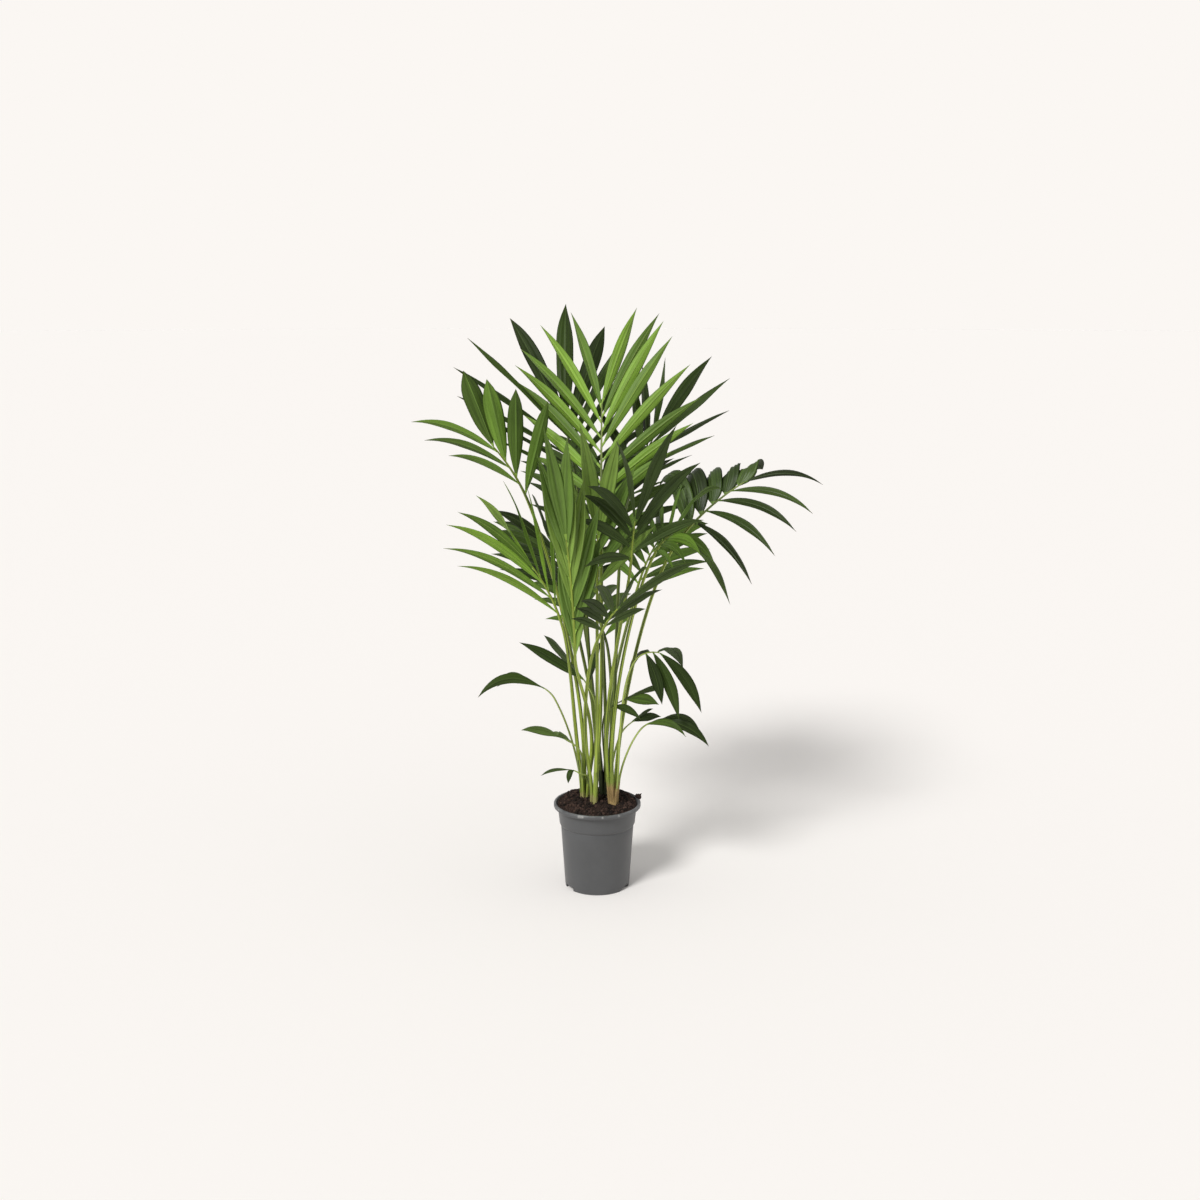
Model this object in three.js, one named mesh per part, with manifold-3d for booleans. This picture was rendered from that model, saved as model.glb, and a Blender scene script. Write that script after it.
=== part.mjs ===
// Kentia palm: a clump of young palms in one nursery pot. Millimetres, +Z up, -Y is the front.
// The origin is the middle of the pot's underside.
import * as THREE from 'three';
import { mergeVertices } from 'three/addons/utils/BufferGeometryUtils.js';
import Module from 'manifold-3d';

const wasm = await Module();
wasm.setup();

const CLEAR = 0.3;
const UP = new THREE.Vector3(0, 0, 1);

// Nursery pot, thin moulded plastic
const POT = {
  height: 188,
  footRadius: 70,
  wallTopRadius: 79.3,
  collarHeight: 141,
  collarFootRadius: 82,
  collarTopRadius: 85.5,
  lipRadius: 94.5,
  lipHeight: 9,
  lipFlat: 5,
  bevel: 2,
  step: 3,
  wall: 1.8,
  panRadius: 60,
  panFloor: 3,
  channelHeight: 9,
  notches: 3,
  notchWidthDeg: 24,
  notchHeight: 7.5,
  notchDepth: 12,
  sides: 30,
};

// Soil heaped from just under the lip, a small gap inside the pot's wall
const SOIL = { gap: 1, edgeRadius: 83.3, edgeHeight: 183, crownHeight: 192, lump: 2.2, rings: 3, sides: 18 };

const STEMS = {
  left: { foot: [-27, 20], colour: 0x7f9a3c },
  middle: { foot: [-6, -20], colour: 0x9ab648 },
  back: { foot: [15, 34], colour: 0x3d4a28 },
  right: { foot: [34, -14], colour: 0xa79a5e },
};
const SHEATH = {
  footHeight: 150,
  footSpread: 4,
  footRadius: 6.5,
  waist: 0.45,
  waistThicker: 1,
  topThicker: 0.3,
  topSpread: 9.5,
  crowd: 5,
  crowdSpread: 13,
  lean: 7,
  low: 226,
  step: 13,
};

const SOCKET = { footRadius: 11.5, topRadius: 17, rise: 10, sides: 12 };

const STALK = {
  footRadius: 4.3,
  neckRadius: 3.1,
  lowFootRadius: 2.7,
  lowNeckRadius: 2,
  footHandle: 0.34,
  neckHandle: 0.19,
  swayStep: 7,
  swayTurn: 45,
  samples: 60,
  stations: 7,
  sides: 5,
};
const RACHIS = { tipRadius: 1.5, lowTipRadius: 1.2, samples: 30, stations: 4, sides: 5, steps: 16 };
const LEAFLET = {
  steps: 8,
  thickPerLength: 0.0108,
  rootShare: 0.8,
  footWidth: 0.6,
  unevenLength: 0.07,
  unevenTurn: 4,
  space: 0.5,
  ridge: 0.1,
  louvre: 24,
  stations: [0, 0.34, 0.74],
  widths: [0, 0.95, 0.88],
  droopingSag: 0.45,
  droopStations: [0, 0.28, 0.56, 0.82],
  droopWidths: [0, 0.88, 1, 0.68],
};

// One entry a frond, lengths in mm, angles in degrees. neck: top of the stalk. out: compass way it leans,
// 0 right and 90 back. rise: angle of the rachis over level at the neck, bow: how far it nods by its tip.
// foot, middle, end: leaflet lengths along the rachis. splay: leaflet angle to the rachis at foot and tip.
// lift: leaflets raised above the frond's plane. sag: how far their own weight bends them.
// louvre: tilt of a leaflet's blade. others: what differs for the leaflets of the second side.
const FRONDS = [
  { name: 'crown_front', stem: 'middle', neck: [8, -40, 823], out: 89, rise: 71, bow: 12,
    rachis: 244, roll: 16, pairs: 8, foot: 150, middle: 296, end: 232, wide: 27,
    splay: [54, 13], lift: -1, sag: 0.15, tone: 'bright', footWidth: 0.9 },
  { name: 'crown_back', stem: 'back', neck: [-42, 110, 855], out: 126, rise: 77, bow: 10,
    rachis: 148, roll: 8, pairs: 7, foot: 172, middle: 280, end: 276, wide: 41,
    splay: [66, 12], lift: 3, sag: 0.17, tone: 'dark', louvre: -14,
    others: { end: 258, wide: 40, splay: [66, 16], louvre: 24 } },
  { name: 'left_high', stem: 'left', neck: [-143, -10, 846], out: 175, rise: 68, bow: 20,
    rachis: 134, roll: 80, pairs: 4, foot: 225, middle: 188, end: 162, wide: 40,
    splay: [36, 22], lift: 4, sag: 0.05, tone: 'mid', footWidth: 0.7,
    others: { foot: 110, middle: 175, end: 190, wide: 20, splay: [34, 8], lift: -12, sag: 0.42 } },
  { name: 'right', stem: 'right', neck: [174, 10, 766], out: 0, rise: 52, bow: 20,
    rachis: 178, roll: -48, pairs: 6, foot: 190, middle: 215, end: 165, wide: 15,
    splay: [90, 10], lift: 7, sag: 0.64, tone: 'glossy', footWidth: 1.8, louvre: 40,
    others: { foot: 270, middle: 140, end: 90, wide: 46, splay: [66, 34], sag: 1, footWidth: 1,
      louvre: 4 } },
  { name: 'right_back', stem: 'back', neck: [67, 120, 832], out: 49, rise: 64, bow: 16,
    rachis: 165, roll: -9, pairs: 6, foot: 60, middle: 204, end: 232, wide: 30,
    splay: [62, 9], lift: 1, sag: 0.16, tone: 'dark' },
  { name: 'left_low', stem: 'left', neck: [-71, -70, 591], out: 185, rise: 75, bow: 21,
    rachis: 146, roll: 59, pairs: 5, foot: 220, middle: 245, end: 180, wide: 22,
    splay: [33, 6], lift: 1, sag: 0.38, tone: 'bright' },
  { name: 'young_front', stem: 'left', neck: [-45, -120, 542], out: -103, rise: 85, bow: 20,
    rachis: 264, roll: -3, pairs: 6, foot: 215, middle: 235, end: 246, wide: 24,
    splay: [8, 5], lift: 4, sag: 0.08, tone: 'bright', footWidth: 1.1,
    others: { foot: 225, wide: 28, splay: [14, 6] } },
  { name: 'centre', stem: 'middle', neck: [0, -60, 648], out: -88, rise: 83, bow: 8,
    rachis: 144, roll: -1, pairs: 5, foot: 173, middle: 180, end: 234, wide: 32,
    splay: [42, 7], lift: 2, sag: 0.1, tone: 'bright' },
  { name: 'right_front', stem: 'right', neck: [69, -95, 735], out: -72, rise: 78, bow: 6,
    rachis: 90, roll: -27, pairs: 5, foot: 150, middle: 182, end: 215, wide: 32,
    splay: [74, 14], lift: 8, sag: 0.36, tone: 'dark' },
  { name: 'right_low', stem: 'right', neck: [119, -60, 747], out: -12, rise: 62, bow: 26,
    rachis: 60, roll: -37, pairs: 5, foot: 100, middle: 150, end: 150, wide: 28,
    splay: [71, 26], lift: 14, sag: 0.7, tone: 'mid' },
  { name: 'front_low', stem: 'middle', neck: [8, -120, 592], out: -48, rise: 59, bow: 19,
    rachis: 78, roll: 3, pairs: 5, foot: 89, middle: 133, end: 209, wide: 26,
    splay: [69, 20], lift: 16, sag: 0.35, tone: 'dark' },
  { name: 'left_back', stem: 'back', neck: [-42, 100, 615], out: 151, rise: 69, bow: 17,
    rachis: 129, roll: 9, pairs: 6, foot: 171, middle: 160, end: 158, wide: 27,
    splay: [57, 20], lift: 3, sag: 0.35, tone: 'glossy' },
  { name: 'rear', stem: 'back', neck: [6, 200, 686], out: 88, rise: 62, bow: 32,
    rachis: 240, roll: 0, pairs: 8, foot: 170, middle: 250, end: 180, wide: 32,
    splay: [58, 18], lift: 8, sag: 0.3, tone: 'dark' },
  { name: 'rear_left', stem: 'back', neck: [-60, 165, 600], out: 108, rise: 50, bow: 30,
    rachis: 190, roll: 0, pairs: 7, foot: 150, middle: 190, end: 150, wide: 30,
    splay: [58, 18], lift: 8, sag: 0.3, tone: 'dark' },
  { name: 'rear_right', stem: 'right', neck: [85, 160, 615], out: 66, rise: 52, bow: 32,
    rachis: 180, roll: 0, pairs: 7, foot: 150, middle: 170, end: 150, wide: 30,
    splay: [58, 18], lift: 8, sag: 0.35, tone: 'mid' },
  { name: 'rear_low', stem: 'back', neck: [19, 130, 518], out: 112, rise: 48, bow: 35,
    rachis: 150, roll: 0, pairs: 6, foot: 110, middle: 160, end: 150, wide: 28,
    splay: [60, 18], lift: 10, sag: 0.4, tone: 'mid' },
  { name: 'low_left', stem: 'left', neck: [-91, -60, 440], out: 177, rise: 56, bow: 34,
    rachis: 38, roll: 4, pairs: 1, foot: 147, middle: 169, end: 119, wide: 24,
    splay: [24, 24], lift: 10, sag: 1, tone: 'dark', low: true },
  { name: 'low_left_back', stem: 'left', neck: [-15, -20, 445], out: 140, rise: 52, bow: 14,
    rachis: 36, roll: 2, pairs: 2, foot: 100, middle: 150, end: 145, wide: 28,
    splay: [46, 16], lift: 4, sag: 0.22, tone: 'dark', low: true },
  { name: 'low_front', stem: 'left', neck: [-41, -60, 329], out: -159, rise: 49, bow: 20,
    rachis: 34, roll: -9, pairs: 2, foot: 84, middle: 94, end: 96, wide: 22,
    splay: [77, 18], lift: 13, sag: 0.47, tone: 'mid', low: true },
  { name: 'low_foot', stem: 'left', neck: [-39, -55, 272], out: 178, rise: 36, bow: 29,
    rachis: 16, roll: -17, pairs: 1, foot: 72, middle: 72, end: 72, wide: 8,
    splay: [16, 16], lift: 3, sag: 0.62, tone: 'dark', low: true,
    others: { foot: 38, middle: 38, end: 38, wide: 15, splay: [60, 60], sag: 3 } },
  { name: 'low_right', stem: 'right', neck: [96, -40, 528], out: 15, rise: 20, bow: 39,
    rachis: 38, roll: 8, pairs: 3, foot: 100, middle: 151, end: 155, wide: 26,
    splay: [95, 21], lift: -60, sag: 1.1, tone: 'dark', footWidth: 1, low: true,
    others: { foot: 125, splay: [140, 21], lift: 22 } },
  { name: 'low_right_back', stem: 'back', neck: [23, -20, 401], out: -17, rise: 45, bow: 24,
    rachis: 48, roll: -4, pairs: 2, foot: 64, middle: 117, end: 86, wide: 24,
    splay: [52, 18], lift: 1, sag: 0.43, tone: 'dark', low: true },
  { name: 'low_right_front', stem: 'right', neck: [98, -30, 366], out: -4, rise: 42, bow: 37,
    rachis: 34, roll: -7, pairs: 2, foot: 120, middle: 104, end: 123, wide: 24,
    splay: [27, 13], lift: 3, sag: 0.93, tone: 'dark', low: true },
  { name: 'low_right_thin', stem: 'right', neck: [58, 20, 346], out: 12, rise: 48, bow: 20,
    rachis: 27, roll: 2, pairs: 1, foot: 71, middle: 65, end: 62, wide: 18,
    splay: [22, 22], lift: 5, sag: 0.39, tone: 'dark', low: true },
];

const TONES = { bright: 0x7c9f3e, mid: 0x4f6f2d, dark: 0x35502a, glossy: 0x334a30 };

// Small turns tried in order, where a leaflet would touch something: [lift, splay, length]
const DODGES = [[0, 0, 1]];
for (const length of [1, 0.8, 0.6]) {
  for (const turn of [9, -9, 18, -18, 27, -27, 36, -36]) {
    DODGES.push([turn, 0, length], [turn, -8, length], [turn, 8, length]);
  }
}

const rad = THREE.MathUtils.degToRad;

function toManifold(geometry) {
  const bare = geometry.clone();
  bare.deleteAttribute('normal');
  bare.deleteAttribute('uv');
  const merged = mergeVertices(bare, 1e-4);
  const vertProperties = new Float32Array(merged.attributes.position.array);
  const triVerts = new Uint32Array(merged.index.array);
  return new wasm.Manifold(new wasm.Mesh({ numProp: 3, vertProperties, triVerts }));
}

function toGeometry(solid) {
  const { vertProperties, triVerts } = solid.getMesh();
  const geometry = new THREE.BufferGeometry();
  geometry.setAttribute('position', new THREE.BufferAttribute(new Float32Array(vertProperties), 3));
  geometry.setIndex(new THREE.BufferAttribute(new Uint32Array(triVerts), 1));
  geometry.computeVertexNormals();
  return geometry;
}

// A closed skin over rings of points. A ring of one point closes an end to a tip. The diagonals take turns
// round a ring, so that the two faces of a thin twisted blade stay apart.
function loft(rings) {
  const points = rings.flat();
  const starts = [];
  rings.reduce((sum, ring) => (starts.push(sum), sum + ring.length), 0);
  const faces = [];
  for (let i = 0; i + 1 < rings.length; i += 1) {
    const n = rings[i].length;
    for (let j = 0; j < n; j += 1) {
      const k = (j + 1) % n;
      const [a, b] = [starts[i] + j, starts[i] + k];
      if (rings[i + 1].length === 1) {
        faces.push(a, b, starts[i + 1]);
      } else {
        const [c, d] = [starts[i + 1] + k, starts[i + 1] + j];
        faces.push(...(j % 2 ? [a, b, d, b, c, d] : [a, b, c, a, c, d]));
      }
    }
  }
  const cap = (start, n, flip) => {
    for (let j = 1; j + 1 < n; j += 1) {
      faces.push(start, ...(flip ? [start + j + 1, start + j] : [start + j, start + j + 1]));
    }
  };
  cap(starts[0], rings[0].length, true);
  cap(starts[rings.length - 1], rings[rings.length - 1].length, false);
  const geometry = new THREE.BufferGeometry();
  const places = points.flatMap((p) => [p.x, p.y, p.z]);
  geometry.setAttribute('position', new THREE.Float32BufferAttribute(places, 3));
  geometry.setIndex(faces);
  return toManifold(geometry);
}

// A round limb along a path of { point, radius }, cut square to facing where that is given
function limb(path, sides) {
  const rings = [];
  let side = null;
  path.forEach(({ point, radius, facing }, i) => {
    const before = path[Math.max(i - 1, 0)].point;
    const after = path[Math.min(i + 1, path.length - 1)].point;
    const along = facing ?? after.clone().sub(before).normalize();
    if (!side) {
      side = new THREE.Vector3(1, 0, 0).cross(along);
    }
    side = side.addScaledVector(along, -side.dot(along)).normalize().clone();
    const other = along.clone().cross(side);
    rings.push(Array.from({ length: sides }, (_, j) => {
      const turn = (2 * Math.PI * j) / sides;
      return point.clone()
        .addScaledVector(side, radius * Math.cos(turn))
        .addScaledVector(other, radius * Math.sin(turn));
    }));
  });
  return loft(rings);
}

function lathe(outline, sides) {
  const profile = outline.map(([r, z]) => new THREE.Vector2(r, z));
  return toManifold(new THREE.LatheGeometry(profile, sides).rotateX(Math.PI / 2));
}

// ---- pot and soil ----

function makePot() {
  const p = POT;
  const { wall, bevel, step } = p;
  const lipFoot = p.height - p.lipHeight;
  const channelTop = p.channelHeight + bevel;
  const taper = (p.wallTopRadius - p.footRadius) / p.collarHeight;
  const outside = [
    [0, 0],
    [p.panRadius, 0],
    [p.panRadius + bevel / 2, p.channelHeight],
    [p.footRadius - wall, p.channelHeight],
    [p.footRadius - wall, 0],
    [p.footRadius, 0],
    [p.wallTopRadius, p.collarHeight],
    [p.collarFootRadius, p.collarHeight + step],
    [p.collarTopRadius, lipFoot - step],
    [p.lipRadius - bevel, lipFoot],
    [p.lipRadius, lipFoot + bevel],
    [p.lipRadius, p.height - bevel],
    [p.lipRadius - bevel, p.height],
  ];
  const inside = [
    [p.lipRadius - p.lipFlat, p.height],
    [p.collarTopRadius - wall, lipFoot - bevel / 2],
    [p.collarFootRadius - wall, p.collarHeight + step],
    [p.wallTopRadius - wall, p.collarHeight],
    [p.footRadius - wall + taper * channelTop, channelTop],
    [p.panRadius - bevel / 2, channelTop],
    [p.panRadius - bevel, p.panFloor],
    [0, p.panFloor],
  ];
  let pot = lathe([...outside, ...inside], p.sides);
  for (let i = 0; i < p.notches; i += 1) {
    const turn = Math.PI / 2 + (2 * Math.PI * i) / p.notches;
    const width = 2 * p.footRadius * Math.sin(rad(p.notchWidthDeg / 2));
    const cutter = new THREE.BoxGeometry(p.notchDepth, width, 2 * p.notchHeight);
    cutter.translate(p.footRadius, 0, 0).rotateZ(turn);
    pot = pot.subtract(toManifold(cutter));
  }
  return pot;
}

// Height of the heaped soil at a share of its radius and a turn, with its lumps
function soilHeight(share, turn) {
  const heap = SOIL.edgeHeight + (SOIL.crownHeight - SOIL.edgeHeight) * (1 - share ** 2);
  return heap + SOIL.lump * share * Math.sin(3 * turn + 1) * Math.cos(5 * turn + 7 * share);
}

function makeSoil() {
  const p = POT;
  const inset = p.wall + SOIL.gap;
  const channelTop = p.channelHeight + p.bevel;
  const ring = (radius, height) => Array.from({ length: SOIL.sides }, (_, j) => {
    const turn = (2 * Math.PI * j) / SOIL.sides;
    return new THREE.Vector3(radius * Math.cos(turn), radius * Math.sin(turn), height(turn));
  });
  const rings = [
    ring(p.panRadius - inset, () => p.panFloor + CLEAR),
    ring(p.panRadius - inset + SOIL.gap, () => channelTop + CLEAR),
    ring(p.footRadius - inset, () => channelTop + CLEAR),
    ring(p.wallTopRadius - inset, () => p.collarHeight),
    ring(p.collarFootRadius - inset, () => p.collarHeight + p.step),
    ring(p.collarTopRadius - inset, () => p.height - p.lipHeight),
  ];
  for (let i = SOIL.rings; i > 0; i -= 1) {
    const share = i / SOIL.rings;
    rings.push(ring(SOIL.edgeRadius * share, (turn) => soilHeight(share, turn)));
  }
  rings.push([new THREE.Vector3(0, 0, SOIL.crownHeight)]);
  return loft(rings);
}

// ---- the way a frond grows ----

function level(out) {
  return new THREE.Vector3(Math.cos(rad(out)), Math.sin(rad(out)), 0);
}

function rachisPath(frond) {
  const headings = Array.from({ length: RACHIS.steps + 1 }, (_, i) => {
    const rise = rad(frond.rise - (frond.bow * i) / RACHIS.steps);
    return level(frond.out).multiplyScalar(Math.cos(rise)).setZ(Math.sin(rise));
  });
  const points = [new THREE.Vector3(...frond.neck)];
  for (let i = 0; i < RACHIS.steps; i += 1) {
    const heading = headings[i].clone().add(headings[i + 1]);
    points.push(points[i].clone().addScaledVector(heading, frond.rachis / RACHIS.steps / 2));
  }
  return { points, headings };
}

function along(frond, share) {
  const { points, headings } = rachisPath(frond);
  const at = THREE.MathUtils.clamp(share, 0, 1) * RACHIS.steps;
  const i = Math.min(Math.floor(at), RACHIS.steps - 1);
  return {
    point: points[i].clone().lerp(points[i + 1], at - i),
    heading: headings[i].clone().lerp(headings[i + 1], at - i).normalize(),
  };
}

function rachisRadius(frond, share) {
  return frond.low
    ? THREE.MathUtils.lerp(STALK.lowNeckRadius, RACHIS.lowTipRadius, share)
    : THREE.MathUtils.lerp(STALK.neckRadius, RACHIS.tipRadius, share);
}

// Midline of one leaflet: points, and the frame of the frond where it is rooted
// The values of a leaflet: its frond's, with those that differ for the leaflets of the second side
function valuesOf(frond, side) {
  return side < 0 && frond.others ? { ...frond, ...frond.others } : frond;
}

function leafletLine(frond, side, index, [liftTurn, splayTurn, lengthScale]) {
  const own = valuesOf(frond, side);
  const spread = (frond.pairs > 1 ? frond.pairs - 1 : 1) + 0.4;
  const share = 1 - (index + (side > 0 ? 0 : 0.4)) / spread;
  const { point, heading } = along(frond, share);
  const flat = new THREE.Vector3(Math.sin(rad(frond.out)), -Math.cos(rad(frond.out)), 0);
  const up = flat.clone().cross(heading);
  const roll = rad(frond.roll);
  const across = flat.clone().multiplyScalar(Math.cos(roll)).addScaledVector(up, Math.sin(roll));
  const over = up.multiplyScalar(Math.cos(roll)).addScaledVector(flat, -Math.sin(roll));
  const evenLength = own.foot * (1 - share) * (1 - 2 * share)
    + 4 * own.middle * share * (1 - share)
    + own.end * share * (2 * share - 1);
  const length = lengthScale * evenLength * (1 + LEAFLET.unevenLength * Math.cos(7 * index + side));
  const uneven = Math.sin(5 * index + 2 * side + frond.neck[2]);
  const turn = LEAFLET.unevenTurn * uneven;
  const [footSplay, tipSplay] = own.splay;
  const splay = rad(tipSplay + (footSplay - tipSplay) * (1 - share) ** 0.7 + splayTurn + turn);
  const lift = rad(own.lift + liftTurn - turn);
  const aim = heading.clone().multiplyScalar(Math.cos(splay))
    .addScaledVector(across, Math.sin(splay) * Math.cos(lift) * side)
    .addScaledVector(over, Math.sin(splay) * Math.sin(lift));
  const points = [point];
  for (let i = 0; i < LEAFLET.steps; i += 1) {
    const bend = own.sag * 1.5 * ((i + 0.5) / LEAFLET.steps) ** 1.5;
    const heading = aim.clone().addScaledVector(UP, -bend).normalize();
    points.push(points[i].clone().addScaledVector(heading, length / LEAFLET.steps));
  }
  return { points, heading, length, share };
}

// A tapering blade, ridged along its middle and tilted like a louvre
function leafletSolid(frond, side, index, dodge, margin) {
  const { points, heading, length, share } = leafletLine(frond, side, index, dodge);
  const own = valuesOf(frond, side);
  const droops = own.sag >= LEAFLET.droopingSag;
  const stations = droops ? LEAFLET.droopStations : LEAFLET.stations;
  const widths = droops ? LEAFLET.droopWidths : LEAFLET.widths;
  const root = LEAFLET.rootShare * rachisRadius(frond, share);
  const middle = (length * LEAFLET.thickPerLength) / 2;
  const wide = own.wide * THREE.MathUtils.lerp(own.footWidth ?? LEAFLET.footWidth, 1, share);
  const rings = stations.map((station, i) => {
    const at = station * LEAFLET.steps;
    const k = Math.floor(at);
    const centre = points[k].clone().lerp(points[k + 1], at - k);
    const forward = points[k + 1].clone().sub(points[k]).normalize();
    const flat = heading.clone().addScaledVector(forward, -heading.dot(forward)).normalize();
    const normal = forward.clone().cross(flat).multiplyScalar(side);
    const tilt = rad(own.louvre ?? LEAFLET.louvre);
    const edge = flat.clone().multiplyScalar(Math.cos(tilt)).addScaledVector(normal, Math.sin(tilt));
    const face = normal.multiplyScalar(Math.cos(tilt)).addScaledVector(flat, -Math.sin(tilt));
    const half = (i === 0 ? root : (wide * widths[i]) / 2) + margin;
    const thick = (i === 0 ? Math.min(root, middle) : middle) + margin;
    const fold = i === 0 ? 0 : -LEAFLET.ridge * half;
    const corner = (a, b) => centre.clone().addScaledVector(edge, a).addScaledVector(face, b);
    const ring = [corner(half, fold), corner(0, thick), corner(-half, fold), corner(0, -thick)];
    return side > 0 ? ring : ring.reverse();
  });
  rings.push([points[LEAFLET.steps]]);
  return loft(rings);
}

// ---- stems and stalks ----

function bearing(frond) {
  const [x, y] = STEMS[frond.stem].foot;
  return Math.atan2(frond.neck[1] - y, frond.neck[0] - x);
}

// Where each frond leaves its stem: a sheath lobe, in order round the stem
function sheaths(stemName) {
  const fronds = FRONDS.filter((frond) => frond.stem === stemName).sort((a, b) => bearing(a) - bearing(b));
  const [x, y] = STEMS[stemName].foot;
  const apart = (2 * Math.PI) / fronds.length;
  const first = fronds.reduce((sum, frond, i) => sum + bearing(frond) - apart * i, 0) / fronds.length;
  return fronds.map((frond, i) => {
    const turn = first + apart * i;
    const outward = new THREE.Vector3(Math.cos(turn), Math.sin(turn), 0);
    const height = SHEATH.low + SHEATH.step * (frond.low ? i % 2 : 2 + (i % 3));
    const radius = frond.low ? STALK.lowFootRadius : STALK.footRadius;
    const spread = fronds.length < SHEATH.crowd ? SHEATH.topSpread : SHEATH.crowdSpread;
    const foot = new THREE.Vector3(x, y, SHEATH.footHeight).addScaledVector(outward, SHEATH.footSpread);
    const top = new THREE.Vector3(x, y, height).addScaledVector(outward, spread);
    const heading = outward.multiplyScalar(Math.sin(rad(SHEATH.lean))).setZ(Math.cos(rad(SHEATH.lean)));
    return { frond, foot, top, heading, radius };
  });
}

function sheathPath({ foot, top, heading, radius }) {
  const middle = top.clone().addScaledVector(heading, -SHEATH.waist * (top.z - foot.z));
  return [
    { point: foot, radius: SHEATH.footRadius, facing: UP },
    { point: middle, radius: radius + SHEATH.waistThicker },
    { point: top, radius: radius + SHEATH.topThicker },
  ];
}

// The hole that a stem stands in
function socket({ foot: [x, y] }) {
  const deep = { point: new THREE.Vector3(x, y, SHEATH.footHeight - CLEAR), radius: SOCKET.footRadius };
  const mouth = { point: new THREE.Vector3(x, y, SOIL.crownHeight + SOCKET.rise), radius: SOCKET.topRadius };
  return limb([deep, mouth], SOCKET.sides);
}

function stalkPath({ frond, top, heading, radius }, sway) {
  const neck = new THREE.Vector3(...frond.neck);
  const { heading: end } = along(frond, 0);
  const start = top.clone().addScaledVector(heading, CLEAR);
  const finish = neck.clone().addScaledVector(end, -CLEAR);
  const reach = start.distanceTo(finish);
  const curve = new THREE.CubicBezierCurve3(
    start,
    start.clone().addScaledVector(heading, STALK.footHandle * reach).add(sway),
    finish.clone().addScaledVector(end, -STALK.neckHandle * reach).add(sway),
    finish,
  );
  const neckRadius = frond.low ? STALK.lowNeckRadius : STALK.neckRadius;
  return (share) => ({
    point: curve.getPoint(share),
    facing: { 0: heading, 1: end }[share],
    radius: THREE.MathUtils.lerp(radius, neckRadius, share),
  });
}

function sample(path, count) {
  return Array.from({ length: count + 1 }, (_, i) => ({ ...path(i / count), gap: 2 * CLEAR }));
}

function touches(samples, others) {
  return samples.some((a) => others.some((b) => a.point.distanceTo(b.point) < a.radius + b.radius + b.gap));
}

function rachisSamples(frond, count) {
  return sample((share) => ({
    point: along(frond, share).point,
    facing: along(frond, share).heading,
    radius: rachisRadius(frond, share),
  }), count);
}

// ---- put together ----

const palm = new THREE.Group();

function add(name, solid, colour, roughness) {
  const material = new THREE.MeshStandardMaterial({ color: colour, roughness, metalness: 0 });
  const mesh = new THREE.Mesh(toGeometry(solid), material);
  mesh.name = name;
  palm.add(mesh);
}

const stems = Object.keys(STEMS).map((name) => ({ name, lobes: sheaths(name) }));
const stemSolids = stems.map(({ lobes }) => lobes
  .map((lobe) => limb(sheathPath(lobe), STALK.sides))
  .reduce((whole, lobe) => whole.add(lobe)));

// Stalks are bowed sideways in growing steps until they clear what stands already
const standing = [];
for (const { lobes } of stems) {
  for (const lobe of lobes) {
    const [a, b, c] = sheathPath(lobe);
    const points = [[a, b, a.radius], [b, c, b.radius - CLEAR]].flatMap(([low, high, radius]) => (
      [0, 0.25, 0.5, 0.75, 0.9]
        .map((t) => ({ point: low.point.clone().lerp(high.point, t), radius, gap: CLEAR }))
    ));
    standing.push({ frond: lobe.frond, points });
  }
}
for (const frond of FRONDS) {
  standing.push({ frond, points: rachisSamples(frond, RACHIS.samples) });
}
const stalks = new Map();
const lobes = stems.flatMap((stem) => stem.lobes);
for (const lobe of FRONDS.map((frond) => lobes.find((each) => each.frond === frond))) {
  const others = standing.filter((item) => item.frond !== lobe.frond).flatMap((item) => item.points);
  let path = null;
  for (let step = 0; !path; step += 1) {
    const size = STALK.swayStep * Math.ceil((step * STALK.swayTurn) / 360);
    const trial = stalkPath(lobe, level(STALK.swayTurn * step).multiplyScalar(size));
    if (!touches(sample(trial, STALK.samples), others)) {
      path = trial;
    }
  }
  stalks.set(lobe.frond, path);
  standing.push({ frond: lobe.frond, points: sample(path, STALK.samples) });
}

function box(solid) {
  const { min, max } = solid.boundingBox();
  return new THREE.Box3(new THREE.Vector3(...min), new THREE.Vector3(...max));
}

const placed = [];
function place(frond, solid) {
  placed.push({ frond, solid, box: box(solid) });
}

const stalkSolids = new Map();
for (const frond of FRONDS) {
  const solid = limb(sample(stalks.get(frond), STALK.stations), STALK.sides);
  stalkSolids.set(frond, solid);
  place(null, solid);
}
const rachisSolids = new Map();
for (const frond of FRONDS) {
  const solid = limb(rachisSamples(frond, RACHIS.stations - 1), RACHIS.sides);
  rachisSolids.set(frond, solid);
  place(frond, solid);
}
stemSolids.forEach((solid) => place(null, solid));

function isClear(frond, solid) {
  const space = box(solid);
  return placed.every((item) => item.frond === frond || !item.box.intersectsBox(space)
    || item.solid.intersect(solid).isEmpty());
}

const blades = new Map();
for (const frond of FRONDS) {
  let blade = rachisSolids.get(frond);
  const leaflets = [];
  for (let index = 0; index < frond.pairs; index += 1) {
    for (const side of [1, -1]) {
      const fits = (turn) => isClear(frond, leafletSolid(frond, side, index, turn, LEAFLET.space));
      const dodge = DODGES.find(fits);
      if (dodge) {
        leaflets.push(leafletSolid(frond, side, index, dodge, 0));
      }
    }
  }
  for (const leaflet of leaflets) {
    blade = blade.add(leaflet);
    place(frond, leaflet);
  }
  blades.set(frond, blade);
}

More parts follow.
